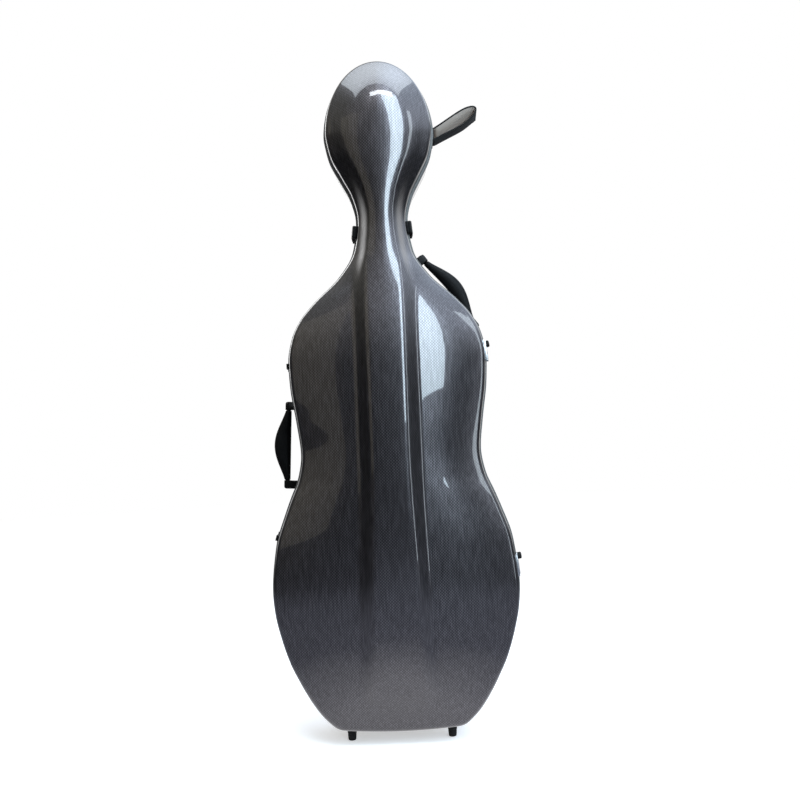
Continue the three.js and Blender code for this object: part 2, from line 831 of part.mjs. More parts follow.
// Latches. Latch frame: x out of the case, y towards the back, z along the rim, origin on the rim.
// The plate sits on the base behind the flange and holds the lever's pin between two ears. The
// lever lies over the flanges and presses on the keeper on the lid.
function addLatch(name, height, side, size) {
  const frame = rimFrame(height, side);
  const half = size.length / 2;
  const behind = notchDepth + gap;
  const wall = -flangeWidth - skin;
  const face = -flangeWidth + gap + latchPlateThickness;
  const pinX = Math.max(gap + size.rise / 2, latchEyeRadius - flangeWidth + 3 * gap);
  const pinY = behind + latchPivotDepth;
  const pivot = new THREE.Vector3(pinX, pinY, 0);
  const pinFrame = frame.clone().multiply(new THREE.Matrix4().setPosition(pivot));
  const pieces = [block(wall, face, behind, behind + latchPlateDepth, -half, half)];
  [-1, 1].forEach((end) => {
    const [near, far] = [half - earThickness, half].map((z) => end * z).sort((a, b) => a - b);
    pieces.push(block(wall, pinX, pinY - latchEyeRadius, pinY + latchEyeRadius, near, far));
    pieces.push(bar(new THREE.Vector3(pinX, pinY, near), new THREE.Vector3(pinX, pinY, far), latchEyeRadius));
  });
  const bore = bar(
    new THREE.Vector3(pinX, pinY, -half - gap),
    new THREE.Vector3(pinX, pinY, half + gap),
    latchPinRadius + gap,
  );
  const plate = cutFrom(joined(pieces), [bore]);
  add(`${name}_plate`, geometryOf(seated(plate, frame, [baseBody])), 'black', frame);

  const inner = half - earThickness - gap;
  const tip = -notchDepth - keeperDepth - pinY;
  const under = gap - pinX;
  const over = gap + size.rise - pinX;
  const tongue = new THREE.Shape([
    new THREE.Vector2(under, tip),
    new THREE.Vector2(over - size.rise / 3, tip),
    new THREE.Vector2(over, tip + size.rise),
    new THREE.Vector2(over, latchEyeRadius / 2),
    new THREE.Vector2(under, latchEyeRadius / 2),
  ]);
  const tongueSolid = new THREE.ExtrudeGeometry(tongue, { depth: 2 * inner, bevelEnabled: false });
  tongueSolid.translate(0, 0, -inner);
  const barrel = bar(new THREE.Vector3(0, 0, -inner), new THREE.Vector3(0, 0, inner), latchEyeRadius);
  const pin = bar(new THREE.Vector3(0, 0, -half), new THREE.Vector3(0, 0, half), latchPinRadius);
  const lever = seated(joined([tongueSolid, barrel, pin]), pinFrame, [baseBody, lidBody]);
  add(`${name}_lever`, geometryOf(lever), 'black', pinFrame);

  const keeper = block(wall, 0, -notchDepth - gap - keeperDepth, -notchDepth - gap, -inner, inner);
  add(`${name}_keeper`, geometryOf(seated(solidOf(keeper), frame, [lidBody])), 'black', frame);
}

// Head loop: a band of webbing, clamped by a plate on the right side of the head. Its middle line
// leaves the plate as two strands, opens, and closes in a round tip.
function loopLine() {
  const strand = loopStrandShares.map((share) => {
    const half = THREE.MathUtils.lerp(loopRootHalf, loopHalf, THREE.MathUtils.smoothstep(share, 0, 1));
    return [loopWidest * share, half];
  });
  const tipSamples = 10;
  const tip = Array.from({ length: tipSamples + 1 }, (_, i) => {
    const turn = Math.PI * (0.5 - i / tipSamples);
    return [loopWidest + (loopReach - loopWidest) * Math.cos(turn), loopHalf * Math.sin(turn)];
  });
  const back = [...strand].reverse().map(([x, z]) => [x, -z]);
  return [...strand, ...tip, ...back].map(([x, z]) => (
    new THREE.Vector3(x + loopBandThickness / 2, 0, z + x * loopSlope)
  ));
}

function addHeadLoop() {
  const frame = rimFrame(shellHeight - loopDrop, 1);
  const plateFace = -flangeWidth + gap + loopPlateThickness;
  const half = loopPlateHeight / 2;
  const [front, back] = [loopDepth - loopBandWidth / 2, loopDepth + loopBandWidth / 2];
  const plate = block(-flangeWidth - skin, plateFace, front, back, -half, half);
  add('head_loop_plate', geometryOf(seated(solidOf(plate), frame, [baseBody])), 'black', frame);
  const points = loopLine();
  const rings = points.map((point, i) => {
    const before = points[(i + points.length - 1) % points.length];
    const after = points[(i + 1) % points.length];
    const way = new THREE.Vector3().subVectors(after, before).normalize();
    const out = new THREE.Vector3(way.z, 0, -way.x).multiplyScalar(loopBandThickness / 2);
    const across = new THREE.Vector3(0, loopBandWidth / 2, 0);
    return [[1, 1], [1, -1], [-1, -1], [-1, 1]].map(([s, w]) => (
      point.clone().addScaledVector(out, s).addScaledVector(across, w)
    ));
  });
  const band = loft([...rings, rings[0]], false);
  band.translate(plateFace + gap, loopDepth, 0);
  const behind = block(-overrun, plateFace + gap, front - gap, back + gap, -overrun, overrun);
  add('head_loop', geometryOf(cutFrom(solidOf(band), [behind])), 'webbing', frame);
}

// A closed round tube along a ring of points in the XZ plane
function ringTube(points, radius, sides) {
  const rings = points.map((point, i) => {
    const before = points[(i + points.length - 1) % points.length];
    const after = points[(i + 1) % points.length];
    const way = new THREE.Vector3().subVectors(after, before).normalize();
    const side = new THREE.Vector3(way.z, 0, -way.x);
    return Array.from({ length: sides }, (_, j) => {
      const turn = (2 * Math.PI * j) / sides;
      return point.clone().addScaledVector(side, radius * Math.cos(turn)).setY(radius * Math.sin(turn));
    });
  });
  return loft([...rings, rings[0]], false);
}

// Strap rings: D shaped, hanging from a plate on the back
function addStrapRing(name, half, height) {
  const rowDepth = (z) => {
    const edge = halfWidthAt(z) - flangeWidth - baseFillet;
    return faceDepth(base, half, z, 1 - Math.abs(half) / edge);
  };
  const plateBack = rowDepth(height) + gap + ringPlateThickness;
  const barDepth = plateBack + ringRod + gap;
  const [wide, tall] = [ringPlateWidth / 2, ringPlateHeight / 2];
  const bridgeHalf = ringInnerWidth / 2 - 2 * gap - ringRod;
  const bridgeRadius = 2 * ringRod + gap;
  const across = (reach, radius) => bar(
    new THREE.Vector3(-reach, barDepth, 0),
    new THREE.Vector3(reach, barDepth, 0),
    radius,
  );
  const eye = across(bridgeHalf, bridgeRadius);
  const bore = across(wide, ringRod + gap);
  const plate = block(-wide, wide, plateBack - overrun, plateBack, -tall, tall);
  const trimmed = solidOf(eye).subtract(solidOf(block(-wide, wide, 0, plateBack - ringRod, -tall, tall)));
  const solid = cutFrom(trimmed.add(solidOf(plate)), [bore]);
  const frame = new THREE.Matrix4().setPosition(half, 0, footLevel + height);
  add(`${name}_plate`, geometryOf(seated(solid, frame, [baseBody])), 'black', frame);
  const inner = ringInnerWidth / 2 + ringRod;
  const corners = 7;
  const points = Array.from({ length: corners + 1 }, (_, i) => {
    const turn = Math.PI * (i / corners);
    return new THREE.Vector3(inner * Math.cos(turn), 0, -ringDrop + inner - inner * Math.sin(turn));
  });
  const ends = [new THREE.Vector3(-inner, 0, 0), new THREE.Vector3(inner, 0, 0)];
  const ringFrame = new THREE.Matrix4().setPosition(half, barDepth, footLevel + height);
  add(name, ringTube([...points, ...ends], ringRod, 8), 'steel', ringFrame);
}

// Foam and cloth inside the base, each kept a gap off the lining
function addBaseInside() {
  const top = (height) => footLevel + height;
  const backEnd = 2 * baseDepth;
  const endBlock = block(-endBlockHalf, endBlockHalf, endBlockFront, backEnd, 0, top(endBlockHeight));
  const endTop = top(endBlockHeight);
  const endBore = bar(
    new THREE.Vector3(0, endBlockFront + overrun, endTop - endpinDepth),
    new THREE.Vector3(0, endBlockFront + overrun, endTop + overrun),
    endpinRadius,
  );
  const solidEnd = inRoom(baseRoom, endBlock).subtract(solidOf(endBore));
  add('endpin_block', geometryOf(solidEnd), 'plush');

  const cradleFoot = top(cradleHeight);
  const cradleTop = cradleFoot + cradleLength;
  const cradle = inRoom(baseRoom, block(-upperHalf, upperHalf, cradleFront, backEnd, cradleFoot, cradleTop));
  const throat = cradleFront + cradleNeckRadius;
  const neckBore = bar(
    new THREE.Vector3(0, throat, cradleFoot - gap),
    new THREE.Vector3(0, throat, cradleTop + gap),
    cradleNeckRadius,
    16,
  );
  const neckSlot = block(-cradleNeckRadius, cradleNeckRadius, 0, throat, cradleFoot - gap, cradleTop + gap);
  add('neck_cradle', geometryOf(cradle.subtract(solidOf(neckBore)).subtract(solidOf(neckSlot))), 'plush');

  const strapReach = cradleNeckRadius + strapWidth / 4;
  const strapMiddle = cradleFoot + cradleLength / 2;
  const band = new THREE.Shape();
  const strapBack = cradleFront - gap;
  const strapFront = strapBack - strapThickness;
  band.moveTo(-strapReach, strapBack);
  band.lineTo(-strapReach, strapFront);
  band.quadraticCurveTo(0, strapFront - strapCrown, strapReach, strapFront);
  band.lineTo(strapReach, strapBack);
  band.lineTo(cradleNeckRadius, strapBack);
  band.quadraticCurveTo(0, strapBack - strapCrown, -cradleNeckRadius, strapBack);
  const strap = new THREE.ExtrudeGeometry(band, { depth: strapWidth, bevelEnabled: false, curveSegments: 8 });
  strap.translate(0, 0, strapMiddle - strapWidth / 2);
  add('neck_strap', strap, 'webbing');

  const pads = [
    ['lower', lowerPadHeight, lowerPadLength, lowerPadInner, lowerPadFront, lowerHalf],
    ['upper', upperPadHeight, upperPadLength, upperPadInner, upperPadFront, upperHalf],
  ];
  pads.forEach(([place, height, length, inner, front, outer]) => {
    [['left', -1], ['right', 1]].forEach(([hand, side]) => {
      const [near, far] = [inner, outer].map((x) => side * x).sort((a, b) => a - b);
      const pad = block(near, far, front, backEnd, top(height), top(height) + length);
      add(`${place}_pad_${hand}`, geometryOf(inRoom(baseRoom, pad)), 'plush');
    });
  });

  const pouchFoot = top(pouchHeight);
  const pouch = block(-pouchHalf, pouchHalf, pouchFront, backEnd, pouchFoot, pouchFoot + pouchLength);
  add('accessory_pouch', geometryOf(inRoom(baseRoom, pouch)), 'webbing');
}

// Bow holders in the lid: a pocket for the frog, and a clip that turns over the stick
function lidRoomDepth(x, height) {
  const edge = halfWidthAt(height) - flangeWidth - lidFillet;
  const sunk = (skin + 2 * gap + lidLiningThickness) * slopeAllowance;
  return faceDepth(lid, x, height, 1 - Math.abs(x) / edge) - sunk;
}

function addBowHolder(hand, side) {
  const x = side * bowHalfSpacing;
  const half = pocketWidth / 2;
  const middle = pocketHeight + pocketLength / 2;
  const face = lidRoomDepth(x, middle) - pocketRise;
  const foot = footLevel + pocketHeight;
  const top = foot + pocketLength;
  const frontEnd = -2 * lidDepth;
  const body = inRoom(lidRoom, block(x - half, x + half, frontEnd, -face, foot, top));
  const cavity = block(
    x - half + pocketWall,
    x + half - pocketWall,
    -face - pocketRise + 2 * pocketWall,
    -face - pocketWall,
    foot + pocketWall,
    top + overrun,
  );
  add(`bow_pocket_${hand}`, geometryOf(body.subtract(solidOf(cavity))), 'webbing');

  const clipLevel = footLevel + clipHeight;
  const seat = lidRoomDepth(x, clipHeight) - clipBaseThickness;
  const seatPoint = new THREE.Vector3(x, -seat, clipLevel);
  const disc = bar(new THREE.Vector3(x, frontEnd, clipLevel), seatPoint, clipRadius, clipSides);
  const socket = bar(
    new THREE.Vector3(x, -seat - clipStemSink - gap, clipLevel),
    new THREE.Vector3(x, -seat + gap, clipLevel),
    clipStemRadius + gap,
  );
  add(`bow_clip_base_${hand}`, geometryOf(inRoom(lidRoom, disc).subtract(solidOf(socket))), 'black');
  const wing = new THREE.Shape();
  const reach = clipWingLength - clipWingWidth;
  wing.absarc(0, 0, clipWingWidth / 2, Math.PI, 2 * Math.PI, false);
  wing.absarc(0, reach, clipWingWidth / 2, 0, Math.PI, false);
  const options = { depth: clipWingThickness, bevelEnabled: false, curveSegments: 8 };
  const arm = new THREE.ExtrudeGeometry(wing, options).rotateX(Math.PI / 2);
  arm.translate(0, clipWingThickness, 0);
  const stem = bar(
    new THREE.Vector3(0, -clipStemRise - clipStemSink, 0),
    new THREE.Vector3(0, clipWingThickness / 2, 0),
    clipStemRadius,
  );
  const frame = new THREE.Matrix4().setPosition(x, -seat + clipStemRise, clipLevel);
  add(`bow_clip_${hand}`, geometryOf(joined([arm, stem])), 'black', frame);
}

addShells();
addHinges();
addFeet();
addHandle('side_handle', sideHandle, -1);
addHandle('shoulder_handle', shoulderHandle, 1);
addLatch('latch_neck_left', leftNeckLatchHeight, -1, neckLatch);
addLatch('latch_neck_right', rightNeckLatchHeight, 1, neckLatch);
addLatch('latch_upper', upperLatchHeight, -1, boutLatch);
addLatch('latch_lower', lowerLatchHeight, -1, boutLatch);
addHeadLoop();
addStrapRing('strap_ring_top', 0, ringTopHeight);
addStrapRing('strap_ring_left', -ringLowerHalf, ringLowerHeight);
addStrapRing('strap_ring_right', ringLowerHalf, ringLowerHeight);
addBaseInside();
addBowHolder('left', -1);
addBowHolder('right', 1);

// The origin lies under the middle of the whole case, on the floor
const bounds = new THREE.Box3().setFromObject(group, true);
const middle = bounds.getCenter(new THREE.Vector3());
group.position.set(-middle.x, -middle.y, -bounds.min.z);

export default group;
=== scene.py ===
"""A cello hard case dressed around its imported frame. Metres, +Z up, the lid faces -Y."""

import json
import math

import bmesh
import bpy
import numpy as np
from mathutils import Matrix, Vector
from mathutils.bvhtree import BVHTree


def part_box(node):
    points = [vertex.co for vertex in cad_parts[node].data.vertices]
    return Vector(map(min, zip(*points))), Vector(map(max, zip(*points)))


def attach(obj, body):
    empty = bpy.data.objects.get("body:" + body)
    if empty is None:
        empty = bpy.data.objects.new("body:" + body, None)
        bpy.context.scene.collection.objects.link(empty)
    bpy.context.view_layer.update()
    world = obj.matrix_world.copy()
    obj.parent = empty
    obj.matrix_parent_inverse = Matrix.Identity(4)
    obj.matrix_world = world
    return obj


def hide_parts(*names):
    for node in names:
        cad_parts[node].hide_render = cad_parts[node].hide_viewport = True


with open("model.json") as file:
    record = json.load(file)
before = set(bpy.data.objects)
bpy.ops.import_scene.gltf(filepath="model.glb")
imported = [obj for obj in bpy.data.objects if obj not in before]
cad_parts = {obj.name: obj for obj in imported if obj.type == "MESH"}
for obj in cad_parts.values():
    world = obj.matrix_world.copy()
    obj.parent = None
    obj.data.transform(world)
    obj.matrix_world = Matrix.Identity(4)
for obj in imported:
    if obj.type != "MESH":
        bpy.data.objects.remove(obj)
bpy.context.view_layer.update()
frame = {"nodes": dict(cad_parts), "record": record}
BODY_OF = {node: body for body, nodes in frame["record"]["behaviour"]["bodies"].items() for node in nodes}
MM = 0.001


# Materials

SHELL_PITCH, WEBBING_PITCH, POUCH_PITCH, THREAD_PITCH = 0.0028, 0.0016, 0.0011, 0.0006


class Nodes:
    """A node tree that is built up by calls."""

    def __init__(self, tree):
        self.tree = tree

    def put(self, value, socket):
        if isinstance(value, bpy.types.NodeSocket):
            self.tree.links.new(value, socket)
        else:
            socket.default_value = value

    def node(self, kind, settings=(), **inputs):
        """A new node. An input goes by its name, or by i and its number."""
        node = self.tree.nodes.new(kind)
        for name, value in dict(settings).items():
            setattr(node, name, value)
        for name, value in inputs.items():
            self.put(value, node.inputs[int(name[1:]) if name[1:].isdigit() else name.replace("_", " ")])
        return node

    def calc(self, operation, a, b=0.0, c=0.0):
        return self.node("ShaderNodeMath", {"operation": operation}, i0=a, i1=b, i2=c).outputs[0]

    def ramp(self, factor, stops):
        """A colour ramp through stops of a position and a colour or a grey."""
        node = self.node("ShaderNodeValToRGB", Fac=factor)
        ramp = node.color_ramp
        while len(ramp.elements) < len(stops):
            ramp.elements.new(0.5)
        for element, (position, colour) in zip(ramp.elements, stops):
            element.position = position
            element.color = (*colour, 1) if hasattr(colour, "__len__") else (colour,) * 3 + (1,)
        return node.outputs["Color"]

    def between(self, value, start, end, low=0.0, high=1.0, kind="SMOOTHSTEP"):
        """Goes from low to high while the value goes from start to end."""
        limits = {"From_Min": start, "From_Max": end, "To_Min": low, "To_Max": high}
        node = self.node("ShaderNodeMapRange", {"interpolation_type": kind}, Value=value, **limits)
        return node.outputs[0]

    def mix(self, factor, a, b, blend="MIX"):
        node = self.node("ShaderNodeMix", {"data_type": "RGBA", "blend_type": blend}, Factor=factor)
        for colour, socket in ((a, node.inputs[6]), (b, node.inputs[7])):
            self.put(colour if isinstance(colour, bpy.types.NodeSocket) else (*colour, 1), socket)
        return node.outputs[2]


class Look(Nodes):
    """A node material around one Principled shader."""

    def __init__(self, name, **sockets):
        self.material = bpy.data.materials.new(name)
        self.material.use_nodes = True
        super().__init__(self.material.node_tree)
        self.shader = self.tree.nodes["Principled BSDF"]
        self.place = self.node("ShaderNodeTexCoord").outputs["Object"]
        self.feed(**sockets)

    def feed(self, **sockets):
        for name, value in sockets.items():
            self.put(value, self.shader.inputs[name.replace("_", " ")])
        return self.material

    def noise(self, scale, detail=2.0, roughness=0.5, vector=None):
        node = self.node("ShaderNodeTexNoise", Scale=scale, Detail=detail, Roughness=roughness)
        self.put(self.place if vector is None else vector, node.inputs["Vector"])
        return node.outputs["Fac"]

    def stretched(self, scale):
        return self.node("ShaderNodeMapping", Vector=self.place, Scale=scale).outputs[0]

    def blend(self, a, b, share):
        """A share of one value and the rest of the other."""
        return self.calc("ADD", self.calc("MULTIPLY", a, share), self.calc("MULTIPLY", b, 1 - share))

    def bump(self, height, distance, strength=1.0, over=None):
        node = self.node("ShaderNodeBump", Height=height, Distance=distance, Strength=strength)
        if over is not None:
            self.put(over, node.inputs["Normal"])
        return node.outputs[0]


def threads(look, pitch):
    """A plain weave laid square onto the nearest of the three sides of the piece."""
    axes = look.node("ShaderNodeSeparateXYZ", Vector=look.place).outputs
    facing = look.node("ShaderNodeTexCoord").outputs["Normal"]
    normals = look.node("ShaderNodeSeparateXYZ", Vector=facing).outputs
    waves = [look.calc("SINE", look.calc("MULTIPLY", axis, math.pi / pitch)) for axis in axes]
    total = 0.0
    for side, (u, v) in enumerate([(1, 2), (0, 2), (0, 1)]):
        share = look.calc("POWER", look.calc("ABSOLUTE", normals[side]), 4.0)
        total = look.calc("MULTIPLY_ADD", look.calc("MULTIPLY", waves[u], waves[v]), share, total)
    return look.calc("MULTIPLY_ADD", total, 0.5, 0.5)


def shell_look():
    """Woven fibre under a clear gloss coat."""
    coat = {"Coat_Weight": 1.0, "Coat_Roughness": 0.03, "Coat_IOR": 1.6}
    look = Look("woven_gloss", Metallic=0.8, Roughness=0.3, **coat)
    streaks = look.noise(1.0, 3.0, 0.6, look.stretched((420.0, 420.0, 30.0)))
    tone = look.blend(threads(look, SHELL_PITCH), streaks, 0.45)
    stops = [(0.28, (0.022, 0.02, 0.022)), (0.5, (0.062, 0.057, 0.062)), (0.72, (0.15, 0.14, 0.154))]
    cloud = look.ramp(look.noise(9.0, 3.0, 0.55), [(0.3, 0.9), (0.7, 1.0)])
    return look.feed(
        Base_Color=look.mix(1.0, look.ramp(tone, stops), cloud, "MULTIPLY"),
        Normal=look.bump(tone, 0.00035, 0.4),
        Coat_Normal=look.bump(look.noise(70.0, 1.0), 0.0004, 0.05),
    )


def trim_look():
    look = Look("rim_trim", Metallic=0.25, Roughness=0.45, Specular_IOR_Level=0.3)
    grain = look.noise(900.0, 3.0)
    return look.feed(
        Base_Color=look.ramp(grain, [(0.3, (0.07, 0.069, 0.068)), (0.7, (0.12, 0.118, 0.115))]),
        Normal=look.bump(grain, 0.0001, 0.2),
    )


def plastic_look(name, low, high, rough, grain_scale=1400.0):
    look = Look(name, Specular_IOR_Level=0.12)
    grain = look.noise(grain_scale, 2.0, 0.6)
    wear = look.noise(38.0, 4.0, 0.6)
    return look.feed(
        Base_Color=look.ramp(look.blend(grain, wear, 0.35), [(0.3, low), (0.75, high)]),
        Roughness=look.between(wear, 0.3, 0.7, rough - 0.06, rough + 0.08, "LINEAR"),
        Normal=look.bump(grain, 0.00012, 0.35),
    )


def steel_look():
    look = Look("brushed_steel", Metallic=1.0, Roughness=0.32)
    lines = look.noise(1.0, 3.0, 0.6, look.stretched((300.0, 2200.0, 300.0)))
    return look.feed(
        Base_Color=look.ramp(lines, [(0.3, (0.5, 0.51, 0.53)), (0.7, (0.66, 0.67, 0.69))]),
        Normal=look.bump(lines, 0.00008, 0.3),
    )


def plush_look(name, low, high):
    look = Look(name, Roughness=0.95, Sheen_Weight=0.5, Sheen_Roughness=0.45, Specular_IOR_Level=0.2)
    fibre = look.noise(1300.0, 3.0, 0.7)
    nap = look.noise(26.0, 4.0, 0.6)
    return look.feed(
        Sheen_Tint=(0.8, 0.82, 0.9, 1),
        Base_Color=look.ramp(look.blend(fibre, nap, 0.5), [(0.35, low), (0.65, high)]),
        Normal=look.bump(fibre, 0.0005, 0.6, look.bump(nap, 0.0012, 0.35)),
    )


def webbing_look(name, low, high, pitch=WEBBING_PITCH, sheen=0.05):
    look = Look(name, Roughness=0.82, Sheen_Weight=sheen, Sheen_Roughness=0.5, Specular_IOR_Level=0.2)
    tone = look.blend(threads(look, pitch), look.noise(1500.0, 2.0, 0.6), 0.75)
    colour = look.ramp(tone, [(0.3, low), (0.7, high)])
    return look.feed(Base_Color=colour, Normal=look.bump(tone, 0.0005, 0.7))


LOOKS = {
    "shell": shell_look(),
    "trim": trim_look(),
    "plastic": plastic_look("black_plastic", (0.002, 0.002, 0.0021), (0.008, 0.008, 0.0083), 0.42),
    "grip": plastic_look("grip_plastic", (0.0015, 0.0015, 0.0016), (0.005, 0.005, 0.0053), 0.5, 2600.0),
    "rubber": plastic_look("matt_rubber", 0.008, (0.022, 0.0215, 0.021), 0.7),
    "steel": steel_look(),
    "plush": plush_look("dark_plush", (0.016, 0.016, 0.02), (0.05, 0.05, 0.06)),
    "pad": plush_look("pad_plush", (0.022, 0.022, 0.027), (0.065, 0.065, 0.076)),
    "webbing": webbing_look("black_webbing", 0.004, (0.018, 0.018, 0.0185)),
    "pouch": webbing_look("pouch_cloth", (0.012, 0.012, 0.014), (0.04, 0.04, 0.046), POUCH_PITCH, 0.3),
    "loop_inside": webbing_look("pale_webbing", (0.3, 0.265, 0.235), (0.58, 0.52, 0.475)),
    "thread": webbing_look("grey_thread", (0.05, 0.05, 0.055), (0.11, 0.11, 0.12), THREAD_PITCH),
}


# The moulded form, as in the part's source, in millimetres

SHELL_HEIGHT, HEAD, NECK, UPPER, WAIST, LOWER = 1332.0, 1182.0, 1017.0, 742.0, 557.0, 284.0
HEAD_HALF, NECK_HALF, UPPER_HALF, WAIST_HALF, LOWER_HALF = 110.0, 51.5, 198.0, 179.5, 246.5
CORNER_HALF, CORNER_RADIUS, CORNER_TURN = 139.0, 40.0, math.pi / 4
FOOT_LEVEL, BOTTOM_BOW = 22.0, 5.0
CORNER_START = (BOTTOM_BOW + CORNER_RADIUS * (1 - math.cos(CORNER_TURN)), CORNER_HALF)
SPANS = [
    ((HEAD, HEAD_HALF), [(0.25, 0.15), (0.5, 0.5), (0.75, 0.85)]),
    ((NECK, NECK_HALF), [(0.22, 0.06), (0.4, 0.27), (0.57, 0.61), (0.7, 0.82), (0.83, 0.94)]),
    ((UPPER, UPPER_HALF), [(0.27, 0.11), (0.66, 0.65)]),
    ((WAIST, WAIST_HALF), [(0.165, 0.112), (0.297, 0.336), (0.43, 0.55), (0.65, 0.845)]),
    (
        (LOWER, LOWER_HALF),
        [(0.154, 0.028), (0.31, 0.107), (0.53, 0.274), (0.66, 0.423), (0.794, 0.6), (0.926, 0.82)],
    ),
]
STATIONS = (SHELL_HEIGHT, HEAD, NECK, UPPER, WAIST, LOWER, 0.0)
OUTLINE_STEPS, OUTLINE_BLUR, DEPTH_BLUR, BEYOND = 3400, 7.0, 22.0, 200.0
SKIN, FLANGE_WIDTH, FLANGE_END, SEAM_STEP, LINING_SET_BACK = 3.0, 5.0, 5.8, 0.8, 2.0
FLANGE_ROUND = 1.6
RIDGE_HALF, HEAD_PLATFORM_HALF, RIDGE_SIDE, RIDGE_RISE = 27.0, 70.0, 40.0, 30.0
SPINE_TOP, SPINE_BOTTOM, SPINE_EASE, SPINE_FAN = 0.915, 0.135, 0.035, 0.12
NOTCH_INSET, NOTCH_HALF, NOTCH_EDGE = 3.0, 21.4, 0.2
SHELL_STEP, LINING_STEP, SEAL_STEP, EDGE_STEPS, PROBE = 4.6, 9.0, 5.0, 9, 0.02
INSIDE_STEPS, OUTSIDE_STEPS, LINING_BACK_STEPS, LINING_FRONT_STEPS = 18, 54, 20, 26
WELD = 1e-6


def box(node):
    """The low and high corner and the middle of a node in the frame."""
    low, high = (np.array(corner, float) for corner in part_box(node))
    return low, high, (low + high) / 2


base_low, _, base_middle = box("base_shell")
SHIFT = np.array((base_middle[0], base_low[1] - SEAM_STEP * MM, 0.0))


def to_row(points):
    """Millimetres around the seam plane and the centre line, to metres in the row frame."""
    return np.asarray(points, float) * MM + SHIFT


def eased(share):
    """Goes from 0 to 1 with a soft start and end."""
    share = np.clip(share, 0, 1)
    return share * share * (3 - 2 * share)


def unit(rows):
    return rows / np.linalg.norm(rows, axis=1)[:, None]


def circle(sides):
    return np.linspace(0, 2 * math.pi, sides, endpoint=False)


def smooth_through(rows):
    """The curve through rows of (height, value), falling in height, level at its extremes."""
    heights, values = np.array(rows, float).T
    steps = np.diff(values) / np.diff(heights)
    before, after = np.r_[steps[0], steps], np.r_[steps, steps[-1]]
    level = before * after <= 0
    slopes = np.where(level, 0, 2 * before * after / np.where(level, 1, before + after))

    def value(height):
        height = np.asarray(height, float)
        i = np.clip(np.searchsorted(-heights, -height, side="right") - 1, 0, len(heights) - 2)
        span = heights[i + 1] - heights[i]
        t = np.clip((height - heights[i]) / span, 0, 1)
        bend = t * (1 - t) * span * (slopes[i] * (1 - t) - slopes[i + 1] * t)
        return values[i] + (values[i + 1] - values[i]) * eased(t) + bend

    return value


def softened(values, sigma, closed=False):
    """A Gaussian blur of evenly spaced rows."""
    reach = int(3 * sigma) + 1
    kernel = np.exp(-0.5 * (np.arange(-reach, reach + 1) / sigma) ** 2)
    kernel /= kernel.sum()
    values = np.asarray(values, float)
    columns = values.reshape(len(values), -1)
    padded = np.pad(columns, ((reach, reach), (0, 0)), "wrap" if closed else "edge")
    out = np.stack([np.convolve(column, kernel, "valid") for column in padded.T], axis=1)
    return out.reshape(values.shape)


def along_case(shares, scale):
    """A softened table of values down the case, read by height."""
    grid = np.arange(-BEYOND, SHELL_HEIGHT + BEYOND)
    table = softened(smooth_through(list(zip(STATIONS, shares)))(grid), DEPTH_BLUR) * scale
    return lambda height: np.interp(height, grid, table)


def walk(points):
    """How far along a polyline each of its points lies."""
    return np.r_[0, np.cumsum(np.linalg.norm(np.diff(points, axis=0), axis=1))]


def read_at(at, walked, points):
    """What a polyline's columns are at given distances along it."""
    return np.stack([np.interp(at, walked, column) for column in points.T], axis=1)


def spread(points, count):
    """The same polyline in even steps."""
    walked = walk(points)
    return read_at(np.linspace(0, walked[-1], count), walked, points)


def both_sides(half):
    """The right half from the top down, and its mirror image back up."""
    return np.concatenate([half, half[-2:0:-1] * [-1, 1]])


def dense_outline():
    """The right half of the outline from the top to the middle of the bottom, in steps of about 1 mm."""
    rows = []
    for (start, bends), (end, _) in zip(SPANS, SPANS[1:] + [(CORNER_START, [])]):
        rows.append(start)
        rows += [(start[0] + (end[0] - start[0]) * a, start[1] + (end[1] - start[1]) * b) for a, b in bends]
    flank = smooth_through(rows + [CORNER_START])
    turns = np.linspace(0, math.pi / 2, 400)
    head = np.c_[HEAD_HALF * np.sin(turns), HEAD + (SHELL_HEIGHT - HEAD) * np.cos(turns)]
    heights = np.linspace(HEAD, CORNER_START[0], 3000)[1:]
    side = np.c_[flank(heights), heights]
    turns = np.linspace(CORNER_TURN, 0, 60)[1:]
    centre = CORNER_HALF - CORNER_RADIUS * math.sin(CORNER_TURN)
    rise = BOTTOM_BOW + CORNER_RADIUS * (1 - np.cos(turns))
    corner = np.c_[centre + CORNER_RADIUS * np.sin(turns), rise]
    share = np.linspace(1, 0, 40)[1:]
    bottom = np.c_[centre * share, BOTTOM_BOW * share**2]
    whole = both_sides(np.concatenate([head, side, corner, bottom]))
    whole = spread(np.concatenate([whole, whole[:1]]), OUTLINE_STEPS + 1)[:-1]
    half = softened(whole, OUTLINE_BLUR, closed=True)[: OUTLINE_STEPS // 2 + 1]
    half[[0, -1], 0] = 0
    return half


HALF_OUTLINE = dense_outline()
HALF_WALKED = walk(HALF_OUTLINE)


def hinge_places():
    """Where the two hinges sit, as distances walked down the right half of the outline."""
    heights = [box(f"hinge_{place}_pin")[2][2] / MM - FOOT_LEVEL for place in ("upper", "lower")]
    beyond = 1e3 * (HALF_OUTLINE[:, 0] < WAIST_HALF)
    return [HALF_WALKED[np.argmin(np.abs(HALF_OUTLINE[:, 1] - height) + beyond)] for height in heights]


HINGE_AT = hinge_places()


def raised(flat, depth):
    """Places of the outline's plane, moved to a depth and up onto the feet."""
    return np.c_[flat[:, 0], np.broadcast_to(depth, len(flat)), flat[:, 1] + FOOT_LEVEL]


